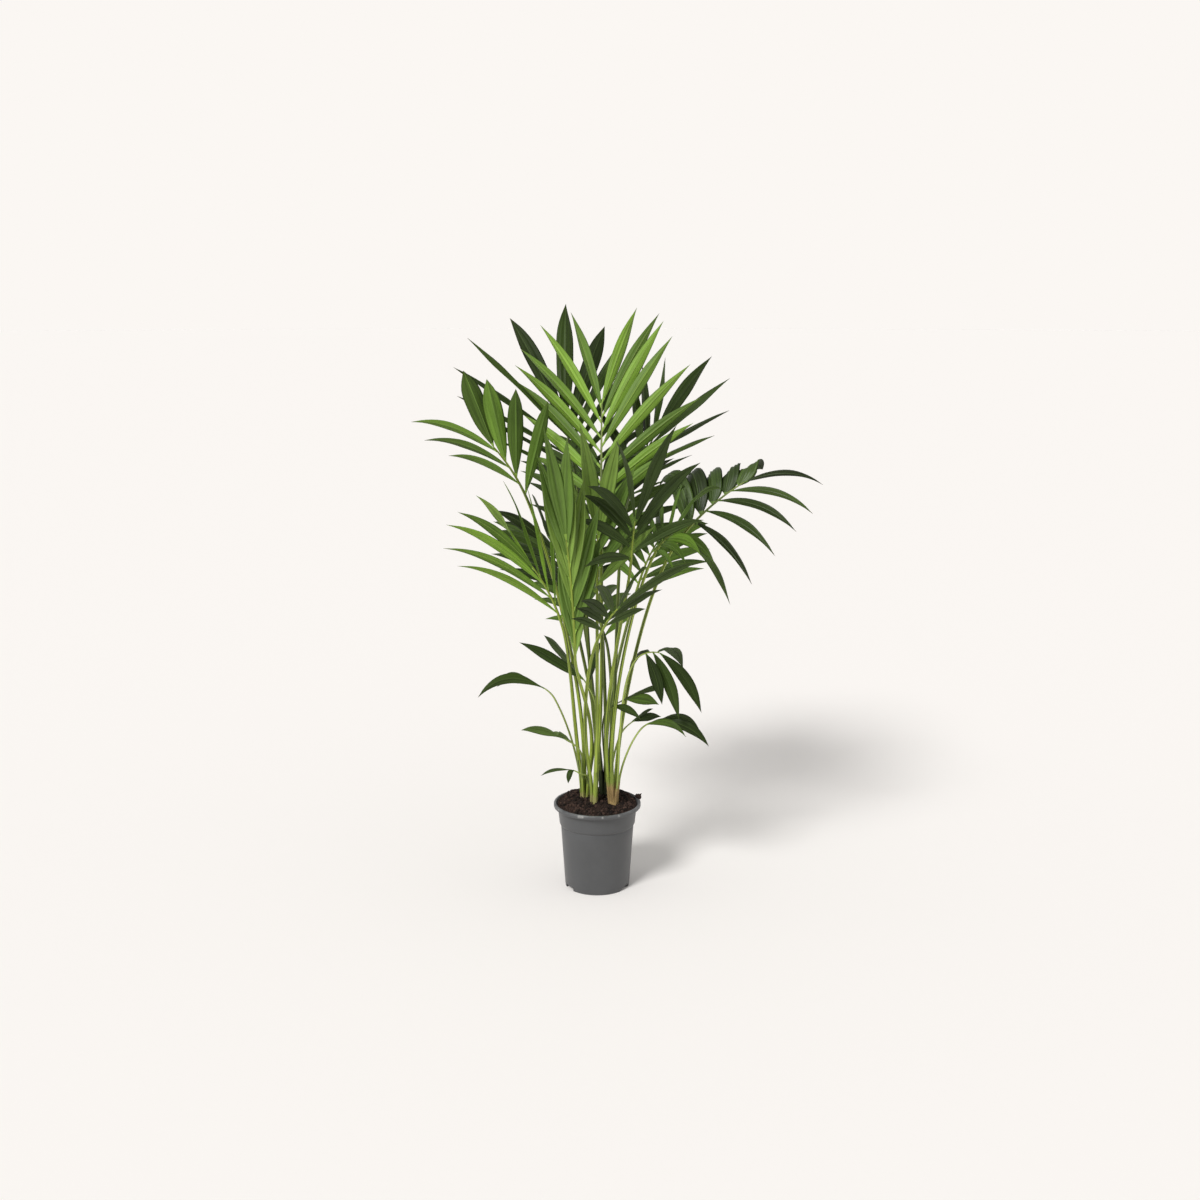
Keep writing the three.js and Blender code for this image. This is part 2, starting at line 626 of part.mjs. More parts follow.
add('pot', makePot(), 0x5b5d5e, 0.5);
const soil = Object.values(STEMS).reduce((left, stem) => left.subtract(socket(stem)), makeSoil());
add('soil', soil, 0x3a2b20, 0.95);
stems.forEach(({ name }, i) => add(`stem_${name}`, stemSolids[i], STEMS[name].colour, 0.6));
for (const frond of FRONDS) {
  add(`stalk_${frond.name}`, stalkSolids.get(frond), 0x8aa544, 0.5);
  add(`frond_${frond.name}`, blades.get(frond), TONES[frond.tone], 0.55);
}

export default palm;
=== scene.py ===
import math
import bmesh
import bpy
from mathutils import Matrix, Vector, kdtree, noise


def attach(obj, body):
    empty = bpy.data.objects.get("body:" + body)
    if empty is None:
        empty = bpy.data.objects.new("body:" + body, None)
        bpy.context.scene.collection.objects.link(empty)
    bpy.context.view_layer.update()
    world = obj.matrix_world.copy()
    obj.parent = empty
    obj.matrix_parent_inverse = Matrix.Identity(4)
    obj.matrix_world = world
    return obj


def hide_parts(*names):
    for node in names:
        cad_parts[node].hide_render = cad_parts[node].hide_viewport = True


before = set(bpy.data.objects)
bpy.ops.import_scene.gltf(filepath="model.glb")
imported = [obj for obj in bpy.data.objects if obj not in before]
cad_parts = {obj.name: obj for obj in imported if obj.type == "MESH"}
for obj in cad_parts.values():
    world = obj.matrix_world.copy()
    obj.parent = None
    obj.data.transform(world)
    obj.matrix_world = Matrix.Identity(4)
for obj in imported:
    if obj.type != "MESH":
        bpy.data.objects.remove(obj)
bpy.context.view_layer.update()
scene = bpy.context.scene
mm = 0.001
skyward = Vector((0, 0, 1))
print("frame loaded,", len(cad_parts), "nodes")

# The camera stands in front of the clump, a little above its middle, and looks slightly down
cameraPlace = {"x": 0.006, "y": -3.0, "z": 1.26, "pitchDown": 11.75, "lens": 43.5, "sensor": 36.0}


def makeCamera(place):
    data = bpy.data.cameras.new("frontCamera")
    data.lens = place["lens"]
    data.sensor_width = place["sensor"]
    camera = bpy.data.objects.new("frontCamera", data)
    camera.location = (place["x"], place["y"], place["z"])
    camera.rotation_euler = (math.radians(90 - place["pitchDown"]), 0, 0)
    scene.collection.objects.link(camera)
    scene.camera = camera


makeCamera(cameraPlace)

# Node helpers, shared by the shader and the geometry trees


def feed(tree, socket, value):  # a link or a plain value into a socket
    if isinstance(value, bpy.types.NodeSocket):
        tree.links.new(value, socket)
    elif value is not None:
        socket.default_value = value


def put(tree, kind, inputs=(), **settings):
    node = tree.nodes.new(kind)
    for key, value in settings.items():
        setattr(node, key, value)
    for socket, value in zip(node.inputs, inputs):
        feed(tree, socket, value)
    return node


def calc(tree, operation, *values):
    return put(tree, "ShaderNodeMath", values, operation=operation).outputs[0]


def times(tree, product, *factors):
    for factor in factors:
        product = calc(tree, "MULTIPLY", product, factor)
    return product


def plus(tree, total, *more):
    for value in more:
        total = calc(tree, "ADD", total, value)
    return total


def ramp(tree, value, low, high, toLow=0.0, toHigh=1.0):
    return put(tree, "ShaderNodeMapRange", [value, low, high, toLow, toHigh]).outputs[0]


def mixColour(tree, factor, first, second):
    node = put(tree, "ShaderNodeMix", data_type="RGBA")
    for index, value in ((0, factor), (6, first), (7, second)):  # a colour mix has its inputs here
        feed(tree, node.inputs[index], value)
    return node.outputs[2]


def scaled(tree, vector, by):
    return put(tree, "ShaderNodeVectorMath", [vector, by], operation="MULTIPLY").outputs[0]


def partsOf(tree, vector):
    return put(tree, "ShaderNodeSeparateXYZ", [vector]).outputs


def vectorOf(tree, x, y, z):
    return put(tree, "ShaderNodeCombineXYZ", [x, y, z]).outputs[0]


def objectPlace(tree):
    return put(tree, "ShaderNodeTexCoord").outputs["Object"]


def clouds(tree, place, look):  # a noise texture, whose look is its scale, detail and roughness
    return put(tree, "ShaderNodeTexNoise", [place, None, *look]).outputs["Fac"]


def colour(code, gain=1.0):  # a colour code in linear light, lighter or darker by the gain
    parts = [int(code[i:i + 2], 16) / 255 for i in (0, 2, 4)]
    linear = [c / 12.92 if c <= 0.04045 else ((c + 0.055) / 1.055) ** 2.4 for c in parts]
    return (*[min(c * gain, 1) for c in linear], 1)


# Shader groups, with the numbers of their noises and ramps
effects = {"patches": (4.0, 0.6), "patchRange": (0.3, 0.7), "speckDrift": (40.0, 3.0, 0.55),
           "speckEdge": 0.05, "threads": (1.0, 3.0, 0.6), "threadRange": (0.38, 0.6), "veinLine": 0.35,
           "veinStretch": (26, 3, 1), "bands": (1.0, 4.0, 0.65), "bandStretch": (5, 0.9, 5),
           "bandRange": (0.34, 0.66)}


def addInputs(group, inputs):  # each input has a label, a kind and a value
    for label, kind, value in inputs:
        socket = group.interface.new_socket(label, in_out="INPUT", socket_type="NodeSocket" + kind)
        if value is not None:
            socket.default_value = value


def makeGroup(name, inputs, outputs):
    group = bpy.data.node_groups.new(name, "ShaderNodeTree")
    addInputs(group, inputs)
    for label in outputs:
        group.interface.new_socket(label, in_out="OUTPUT", socket_type="NodeSocketFloat")
    return group, put(group, "NodeGroupInput").outputs, put(group, "NodeGroupOutput").inputs


def makeMottle():  # slow patches of lighter and darker tone
    group, given, out = makeGroup("mottle", [("Scale", "Float", 30.0), ("Depth", "Float", 0.5)], ["Value"])
    patches = clouds(group, objectPlace(group), (given["Scale"], *effects["patches"]))
    middle = calc(group, "SUBTRACT", ramp(group, patches, *effects["patchRange"]), 0.5)
    feed(group, out["Value"], calc(group, "MULTIPLY_ADD", middle, given["Depth"], 0.5))
    return group


def makeSpecks():  # small scattered grains
    group, given, out = makeGroup("specks", [("Scale", "Float", 900.0), ("Amount", "Float", 0.3)], ["Mask"])
    place = objectPlace(group)
    cells = put(group, "ShaderNodeTexVoronoi", [place, None, given["Scale"]]).outputs["Distance"]
    reach = times(group, clouds(group, place, effects["speckDrift"]), given["Amount"])
    near = calc(group, "SUBTRACT", reach, cells)
    feed(group, out["Mask"], ramp(group, near, -effects["speckEdge"], effects["speckEdge"]))
    return group


def makeStreaks():  # long streaks on a limb, from the place across it and the way along it: fibres on the sheaths and husk, painted highlight and painted shade on the stalks
    inputs = [("Strand", "Vector", None), ("Count", "Float", 6.0), ("Stretch", "Float", 14.0)]
    group, given, out = makeGroup("streaks", inputs, ["Value", "Height"])
    size = vectorOf(group, given["Count"], given["Count"], given["Stretch"])
    threads = clouds(group, scaled(group, given["Strand"], size), effects["threads"])
    feed(group, out["Value"], ramp(group, threads, *effects["threadRange"]))
    feed(group, out["Height"], threads)
    return group


def makeVeins():  # lengthwise veins and bands of a leaflet, from the place on its blade; the bands are lighter and darker streaks along it, painted light and shade of the pleats
    inputs = [("Blade", "Vector", None), ("Count", "Float", 7.0), ("Ripple", "Float", 0.4)]
    group, given, out = makeGroup("veins", inputs, ["Height", "Line", "Tone"])
    phase = times(group, partsOf(group, given["Blade"])["X"], given["Count"], math.pi)
    ridge = calc(group, "ABSOLUTE", calc(group, "SINE", phase))
    threads = clouds(group, scaled(group, given["Blade"], effects["veinStretch"]), effects["threads"])
    feed(group, out["Height"], plus(group, ridge, times(group, threads, given["Ripple"])))
    feed(group, out["Line"], ramp(group, ridge, 0.0, effects["veinLine"], 1.0, 0.0))
    bands = clouds(group, scaled(group, given["Blade"], effects["bandStretch"]), effects["bands"])
    feed(group, out["Tone"], ramp(group, bands, *effects["bandRange"]))
    return group


mottle = makeMottle()
specks = makeSpecks()
streaks = makeStreaks()
veins = makeVeins()


def useGroup(tree, group, inputs):
    return put(tree, "ShaderNodeGroup", inputs, node_tree=group).outputs


def useAttribute(tree, name):
    return put(tree, "ShaderNodeAttribute", attribute_name=name).outputs["Vector"]


def newMaterial(name, roughness, specular, coat=0.0):
    material = bpy.data.materials.new(name)
    material.use_nodes = True
    shader = material.node_tree.nodes["Principled BSDF"]
    finish = {"Roughness": roughness, "Specular IOR Level": specular, "Coat Weight": coat,
              "Coat Roughness": 0.25}
    for label, value in finish.items():
        shader.inputs[label].default_value = value
    return material, material.node_tree, shader


def paint(tree, shader, tint, tone=None, roughness=0.0, spread=(0.0, 0.0)):  # a tone varies the roughness
    feed(tree, shader.inputs["Base Color"], tint)
    if tone is not None:
        rough = ramp(tree, tone, 0.0, 1.0, roughness + spread[0], roughness + spread[1])
        feed(tree, shader.inputs["Roughness"], rough)


def addBump(tree, shader, height, strength, distance):
    bump = put(tree, "ShaderNodeBump", [strength, distance])
    feed(tree, bump.inputs["Height"], height)
    feed(tree, shader.inputs["Normal"], bump.outputs[0])


# Leaf materials: plain tints dealt out by leaflet, with veins and a slow mottle over each
# The bright, mid, dark and glossy sets are lit and shaded copies of one leaf: each frond takes the set for
# how lit or shaded it is, as painted light and painted shade
litAndShadedLeafLooks = {
    "bright": {"tints": ["729332", "64832e", "779a35", "557126"], "unders": ["748f3f", "607c34"],
               "rib": "849f44", "foot": "8fae4c", "roughness": 0.42, "specular": 0.22, "coat": 0.0,
               "veins": 6},
    "mid": {"tints": ["557028", "4b6323", "607e2d", "41561e"], "unders": ["587031", "4c622a"],
            "rib": "5f7a34", "foot": "7d9a42", "roughness": 0.42, "specular": 0.18, "coat": 0.0, "veins": 6},
    "dark": {"tints": ["37491b", "2f3f17", "435820", "273511"], "unders": ["3f5026", "35441f"],
             "rib": "425427", "foot": "5d7733", "roughness": 0.42, "specular": 0.14, "coat": 0.0, "veins": 6},
    "glossy": {"tints": ["394b20", "31401b", "465a27", "283415"], "unders": ["3e4b29", "354122"],
               "rib": "43542a", "foot": "5d7733", "roughness": 0.36, "specular": 0.24, "coat": 0.03,
               "veins": 8},
}
leafExtras = {"tip": "5d4f2c", "veinDepth": 0.0004, "veinStrength": 0.3, "veinRipple": 0.5, "bands": 0.72,
              "mottle": (16.0, 0.8), "paintedFootGlowTipShade": 0.3, "darker": 0.56, "lighter": 1.46, "topLines": 0.12,
              "underLines": 0.16, "footLines": 0.1, "roughnessSpread": (-0.05, 0.1)}


def makeLeafMaterial(name, code, look, lines):
    material, tree, shader = newMaterial(name, look["roughness"], look["specular"], look["coat"])
    blade = useAttribute(tree, "blade")
    relief = useGroup(tree, veins, [blade, look["veins"], leafExtras["veinRipple"]])
    patches = useGroup(tree, mottle, leafExtras["mottle"])["Value"]
    # lighter at the foot of each blade and darker towards its tip: painted glow and painted shade
    paintedFootGlowTipShade = leafExtras["paintedFootGlowTipShade"] / 2
    # the bands give painted light and shade of the pleats, the mottle a random tone
    tone = plus(tree, times(tree, relief["Tone"], leafExtras["bands"]),
                times(tree, patches, 1 - leafExtras["bands"]),
                ramp(tree, partsOf(tree, blade)["Y"], 0.0, 1.0, paintedFootGlowTipShade, -paintedFootGlowTipShade))
    body = mixColour(tree, tone, colour(code, leafExtras["darker"]), colour(code, leafExtras["lighter"]))
    lined = mixColour(tree, times(tree, relief["Line"], lines), body, colour(look["rib"]))
    paint(tree, shader, lined, tone, look["roughness"], leafExtras["roughnessSpread"])
    addBump(tree, shader, relief["Height"], leafExtras["veinStrength"], leafExtras["veinDepth"])
    return material


def makeLeafSet(toneName, look):
    codes = [(f"top{i + 1}", code, leafExtras["topLines"]) for i, code in enumerate(look["tints"])]
    codes += [(f"under{i + 1}", code, leafExtras["underLines"]) for i, code in enumerate(look["unders"])]
    # the foot colour, lighter than the tints, is painted glow at the foot of each blade
    codes += [("rib", look["rib"], 0.0), ("foot", look["foot"], leafExtras["footLines"]),
              ("tip", leafExtras["tip"], 0.0)]
    return [makeLeafMaterial(f"leaf_{toneName}_{part}", code, look, lines) for part, code, lines in codes]


leafSets = {name: makeLeafSet(name, look) for name, look in litAndShadedLeafLooks.items()}

# Limb materials: light and dark streaks that run along a limb, with specks of dirt. On the stalks the streaks
# are painted highlight and painted shade
limbLooks = {
    # on the stalks the few light and dark streaks round each one are painted highlight and painted shade
    "petiole": {"light": "a5b947", "dark": "24340a", "roughness": 0.38, "count": 2.3, "stretch": 5.0,
                "depth": 0.0003, "specks": 0.08, "speck": "6a6d30"},
    # a darker copy of the stalk, painted shade for the stalks of the back stem
    "petiolePaintedShade": {"light": "70822f", "dark": "222e0c", "roughness": 0.42, "count": 2.3, "stretch": 5.0,
                    "depth": 0.0003, "specks": 0.12, "speck": "50552a"},
    "petioleThin": {"light": "a6b75c", "dark": "53662a", "roughness": 0.42, "count": 1.6, "stretch": 5.0,
                    "depth": 0.0003, "specks": 0.1, "speck": "5c6130"},
    "sheathGreen": {"light": "a9a868", "dark": "6a5a34", "roughness": 0.42, "count": 2.2, "stretch": 12.0,
                    "depth": 0.0006, "specks": 0.24, "speck": "5a4a28",
                    "upper": {"light": "a6b94a", "dark": "2c3d0d", "height": 0.2, "soft": 0.01}},
    # the sheaths of the back stem, dark as painted shade
    "sheathPaintedShade": {"light": "3d4729", "dark": "1c2015", "roughness": 0.55, "count": 5.0, "stretch": 16.0,
                   "depth": 0.0007, "specks": 0.35, "speck": "12110d"},
    "sheathHusk": {"light": "c0a26b", "dark": "422f19", "roughness": 0.75, "count": 8.0, "stretch": 20.0,
                   "depth": 0.0009, "specks": 0.4, "speck": "3f301b",
                   "upper": {"light": "93a346", "dark": "5d6f2c", "height": 0.224, "soft": 0.014}},
    "huskFibre": {"light": "ceb27c", "dark": "92794a", "roughness": 0.8, "count": 4.0, "stretch": 30.0,
                  "depth": 0.0002, "specks": 0.15, "speck": "4f3d22"},
}
limbExtras = {"specular": 0.4, "speckScale": 700.0, "bump": 0.5, "roughnessSpread": (0.1, -0.05),
              "drift": (60.0, 3.0, 0.6), "ragged": 0.06}


def makeLimbMaterial(name, look):
    material, tree, shader = newMaterial(name, look["roughness"], limbExtras["specular"])
    threads = useGroup(tree, streaks, [useAttribute(tree, "strand"), look["count"], look["stretch"]])
    dirt = useGroup(tree, specks, [limbExtras["speckScale"], look["specks"]])["Mask"]
    # light and dark by the streaks, which on the stalks are painted highlight and painted shade
    body = mixColour(tree, threads["Value"], colour(look["dark"]), colour(look["light"]))
    if "upper" in look:  # dry at the foot, green above a ragged edge
        upper = look["upper"]
        place = objectPlace(tree)
        height = calc(tree, "SUBTRACT", partsOf(tree, place)["Z"], limbExtras["ragged"] / 2)
        drift = clouds(tree, place, limbExtras["drift"])
        edge = calc(tree, "MULTIPLY_ADD", drift, limbExtras["ragged"], height)
        green = mixColour(tree, threads["Value"], colour(upper["dark"]), colour(upper["light"]))
        above = ramp(tree, edge, upper["height"], upper["height"] + upper["soft"])
        body = mixColour(tree, above, body, green)
    speckled = mixColour(tree, dirt, body, colour(look["speck"]))
    paint(tree, shader, speckled, threads["Value"], look["roughness"], limbExtras["roughnessSpread"])
    addBump(tree, shader, threads["Height"], limbExtras["bump"], look["depth"])
    return material


limbMaterials = {name: makeLimbMaterial(name, look) for name, look in limbLooks.items()}
print("leaf and limb materials made")

# Geometry trees


def makeTree(name, inputs):
    tree = bpy.data.node_groups.new(name, "GeometryNodeTree")
    addInputs(tree, [("Geometry", "Geometry", None)] + inputs)
    tree.interface.new_socket("Geometry", in_out="OUTPUT", socket_type="NodeSocketGeometry")
    return tree, put(tree, "NodeGroupInput").outputs, put(tree, "NodeGroupOutput").inputs


def readNamed(tree, name, kind="FLOAT"):
    return put(tree, "GeometryNodeInputNamedAttribute", [name], data_type=kind).outputs[0]


def store(tree, geometry, name, value, kind="FLOAT"):
    return put(tree, "GeometryNodeStoreNamedAttribute", [geometry, None, name, value],
               data_type=kind, domain="POINT").outputs[0]


def moved(tree, geometry, place=None, offset=None):
    return put(tree, "GeometryNodeSetPosition", [geometry, None, place, offset]).outputs[0]


def realized(tree, geometry):
    return put(tree, "GeometryNodeRealizeInstances", [geometry]).outputs[0]


def coloured(tree, geometry, material, where=None):
    return put(tree, "GeometryNodeSetMaterial", [geometry, where, material]).outputs[0]


def sweep(tree, paths, profile):  # a profile along each path, scaled and turned by the path's own attributes
    curves = put(tree, "GeometryNodeMeshToCurve", [paths]).outputs[0]
    facing = readNamed(tree, "facing", "FLOAT_VECTOR")
    turned = put(tree, "GeometryNodeSetCurveNormal", [curves, None, facing], mode="FREE").outputs[0]
    halfWidth = readNamed(tree, "halfWidth")
    return put(tree, "GeometryNodeCurveToMesh", [turned, profile, halfWidth, True]).outputs[0]


def finishTree(tree, geometry, out):
    feed(tree, out["Geometry"], put(tree, "GeometryNodeSetShadeSmooth", [geometry]).outputs[0])


def makeLimbTree():  # a tapering limb, flat above and round beneath
    inputs = [("Sides", "Int", 12), ("Flat", "Float", 0.25), ("Material", "Material", None)]
    tree, given, out = makeTree("limb", inputs)
    circle = put(tree, "GeometryNodeCurvePrimitiveCircle", [given["Sides"]]).outputs[0]
    place = partsOf(tree, put(tree, "GeometryNodeInputPosition").outputs[0])
    cut = calc(tree, "MINIMUM", place["X"], calc(tree, "SUBTRACT", 1.0, given["Flat"]))
    profile = moved(tree, circle, vectorOf(tree, cut, place["Y"], 0.0))
    profile = store(tree, profile, "acrossX", place["X"])
    profile = store(tree, profile, "acrossY", place["Y"])
    body = sweep(tree, given["Geometry"], profile)
    strand = vectorOf(tree, *[readNamed(tree, name) for name in ("acrossX", "acrossY", "distance")])
    body = store(tree, body, "strand", strand, "FLOAT_VECTOR")
    body = coloured(tree, realized(tree, body), given["Material"])
    finishTree(tree, body, out)
    return tree


leafletParts = ["Top 1", "Top 2", "Top 3", "Top 4", "Under 1", "Under 2", "Midrib", "Foot", "Tip"]
leafletInputs = [("Columns", "Int", 28), ("Crowding", "Float", 1.5), ("Thickness", "Float", 0.00045),
                 ("Foot Thicker", "Float", 2.0), ("Fold", "Float", 0.14), ("Pleats", "Float", 2.0),
                 ("Pleat Depth", "Float", 0.03), ("Wave", "Float", 0.06), ("Waves Along", "Float", 13.0),
                 ("Waves Across", "Float", 1.7), ("Rib Width", "Float", 0.04), ("Foot Share", "Float", 0.05),
                 ("Rib Height", "Float", 0.0004), ("Tip Share", "Float", 0.97), ("Weld", "Float", 0.00002)]


def leafletProfile(tree, given):  # a flat loop, out along the upper side and back along the lower one
    circle = put(tree, "GeometryNodeCurvePrimitiveCircle", [given["Columns"]]).outputs[0]
    turn = calc(tree, "DIVIDE", put(tree, "GeometryNodeInputIndex").outputs[0], given["Columns"])
    fromHalf = calc(tree, "ABSOLUTE", calc(tree, "SUBTRACT", turn, 0.5))
    even = calc(tree, "MULTIPLY_ADD", fromHalf, -4.0, 1.0)  # from one edge, -1, to the other, 1, and back
    crowded = calc(tree, "POWER", calc(tree, "ABSOLUTE", even), given["Crowding"])
    across = times(tree, crowded, calc(tree, "SIGN", even))
    height = calc(tree, "SNAP", calc(tree, "SINE", times(tree, turn, 2 * math.pi)), 0.001)
    profile = store(tree, circle, "across", across)
    profile = store(tree, profile, "side", calc(tree, "SIGN", height))
    return moved(tree, profile, vectorOf(tree, 0.0, readNamed(tree, "across"), 0.0))


def leafletRelief(tree, given, across, side, along):  # how far each corner stands off the flat blade
    half, phase = readNamed(tree, "halfWidth"), readNamed(tree, "phase")
    fromRib = calc(tree, "ABSOLUTE", across)
    fold = times(tree, fromRib, given["Fold"], -1.0)
    pleat = times(tree, calc(tree, "COSINE", times(tree, fromRib, given["Pleats"], 2 * math.pi)),
                  given["Pleat Depth"])
    swing = calc(tree, "MULTIPLY_ADD", across, given["Waves Across"], phase)
    swing = calc(tree, "SINE", calc(tree, "MULTIPLY_ADD", along, given["Waves Along"], swing))
    wave = times(tree, swing, times(tree, fromRib, fromRib), given["Wave"])
    shape = times(tree, plus(tree, fold, plus(tree, pleat, wave)), half)
    toTip = calc(tree, "SUBTRACT", 1.0, along)
    thicker = calc(tree, "MULTIPLY_ADD", calc(tree, "POWER", toTip, 4.0), given["Foot Thicker"], 1.0)
    skin = times(tree, side, times(tree, thicker, given["Thickness"], 0.5))
    middle = calc(tree, "LESS_THAN", fromRib, 0.01)  # the middle column of corners alone
    rib = times(tree, middle, calc(tree, "MAXIMUM", side, 0.0), given["Rib Height"], toTip)
    return plus(tree, shape, plus(tree, skin, rib))


def leafletColours(tree, given, across, side, along, body):  # tops by tint, then unders, rib, foot and tip
    tint = readNamed(tree, "tint")
    under = calc(tree, "LESS_THAN", side, -0.1)  # side is 1 above, -1 beneath and 0 at the edges
    onRib = calc(tree, "LESS_THAN", calc(tree, "ABSOLUTE", across), given["Rib Width"])
    choices = [calc(tree, "COMPARE", tint, float(i), 0.4) for i in range(4)]  # tint is 0, 1, 2 or 3
    choices += [under, times(tree, under, calc(tree, "GREATER_THAN", tint, 1.5)),
                times(tree, calc(tree, "GREATER_THAN", side, 0.1), onRib),
                calc(tree, "LESS_THAN", along, given["Foot Share"]),
                calc(tree, "GREATER_THAN", along, given["Tip Share"])]
    for part, choice in zip(leafletParts, choices):
        body = coloured(tree, body, given[part], choice)
    return body


def makeLeafletTree():  # folded and pleated blades along their midlines, closed all round
    materials = [(part, "Material", None) for part in leafletParts]
    tree, given, out = makeTree("leaflet", leafletInputs + materials)
    body = sweep(tree, given["Geometry"], leafletProfile(tree, given))
    across, side, along = [readNamed(tree, name) for name in ("across", "side", "along")]
    height = leafletRelief(tree, given, across, side, along)
    facing = readNamed(tree, "facing", "FLOAT_VECTOR")
    push = put(tree, "ShaderNodeVectorMath", [facing, None, None, height], operation="SCALE").outputs[0]
    body = moved(tree, body, offset=push)
    body = put(tree, "GeometryNodeMergeByDistance", [body, None, given["Weld"]]).outputs[0]
    blade = vectorOf(tree, across, along, plus(tree, side, readNamed(tree, "phase")))
    body = realized(tree, store(tree, body, "blade", blade, "FLOAT_VECTOR"))
    finishTree(tree, leafletColours(tree, given, across, side, along, body), out)
    return tree


limbTree = makeLimbTree()
leafletTree = makeLeafletTree()


def pathMesh(name, paths):  # one open polyline a path, whose stations carry a point and named attributes
    mesh = bpy.data.meshes.new(name)
    stations = [station for path in paths for station in path]
    edges, start = [], 0
    for path in paths:
        edges += [(start + i, start + i + 1) for i in range(len(path) - 1)]
        start += len(path)
    mesh.from_pydata([s["point"] * mm for s in stations], edges, [])
    for key in stations[0]:
        if key == "point":
            continue
        isVector = key == "facing"
        layer = mesh.attributes.new(key, "FLOAT_VECTOR" if isVector else "FLOAT", "POINT")
        for item, station in zip(layer.data, stations):
            if isVector:
                item.vector = station[key]
            else:
                item.value = station[key]
    return mesh


def grow(name, source, tree, values):  # runs a tree on a source mesh and keeps the plain result
    piece = bpy.data.objects.new(name, source)
    scene.collection.objects.link(piece)
    modifier = piece.modifiers.new("grow", "NODES")
    modifier.node_group = tree
    sockets = {item.name: item.identifier for item in tree.interface.items_tree if item.in_out == "INPUT"}
    for label, value in values.items():
        modifier[sockets[label]] = value
    graph = bpy.context.evaluated_depsgraph_get()
    made = bpy.data.meshes.new_from_object(piece.evaluated_get(graph), preserve_all_data_layers=True,
                                           depsgraph=graph)
    piece.modifiers.clear()
    piece.data = made
    made.name = name
    turnOutward(made)
    return piece


def turnOutward(mesh):  # turns a closed mesh that came out inside out
    shape = bmesh.new()
    shape.from_mesh(mesh)
    if shape.calc_volume(signed=True) < 0:
        bmesh.ops.reverse_faces(shape, faces=shape.faces)
        shape.to_mesh(mesh)
    shape.free()


def meshPiece(name, shape, materials, sharpAbove=None):  # an object from a finished bmesh
    mesh = bpy.data.meshes.new(name)
    shape.to_mesh(mesh)
    shape.free()
    for material in materials:
        mesh.materials.append(material)
    mesh.shade_smooth()
    if sharpAbove:
        mesh.set_sharp_from_angle(angle=math.radians(sharpAbove))
    piece = bpy.data.objects.new(name, mesh)
    scene.collection.objects.link(piece)
    return piece


def claim(piece, slotName, *nodes):  # the one body carries the piece, which replaces the nodes named
    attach(piece, "root")
    if nodes:
        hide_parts(*nodes)
    return piece


# How the clump grows, in millimetres and degrees: the same rule as the solids, carried finer
stemFeet = {"left": (-27, 20), "middle": (-6, -20), "back": (15, 34), "right": (34, -14)}
sheath = {"footHeight": 150, "footSpread": 4, "footRadius": 6.5, "waist": 0.45, "waistThicker": 1,
          "topThicker": 0.3, "topSpread": 9.5, "crowd": 5, "crowdSpread": 13, "lean": 7, "low": 226,
          "step": 13}
stalk = {"footRadius": 4.3, "neckRadius": 3.1, "lowFootRadius": 2.7, "lowNeckRadius": 2, "footHandle": 0.34,
         "neckHandle": 0.19, "swayStep": 7, "swayTurn": 45, "swaysTried": 160, "clear": 0.3, "stations": 7,
         "sides": 5, "match": 0.1}
rachis = {"tipRadius": 1.5, "lowTipRadius": 1.2, "steps": 16}
leaflet = {"steps": 8, "rootShare": 0.8, "footWidth": 0.6, "unevenLength": 0.07, "unevenTurn": 4,
           "louvre": 24, "stagger": 0.4, "splayFall": 0.7, "sagGain": 1.5, "sagPower": 1.5}
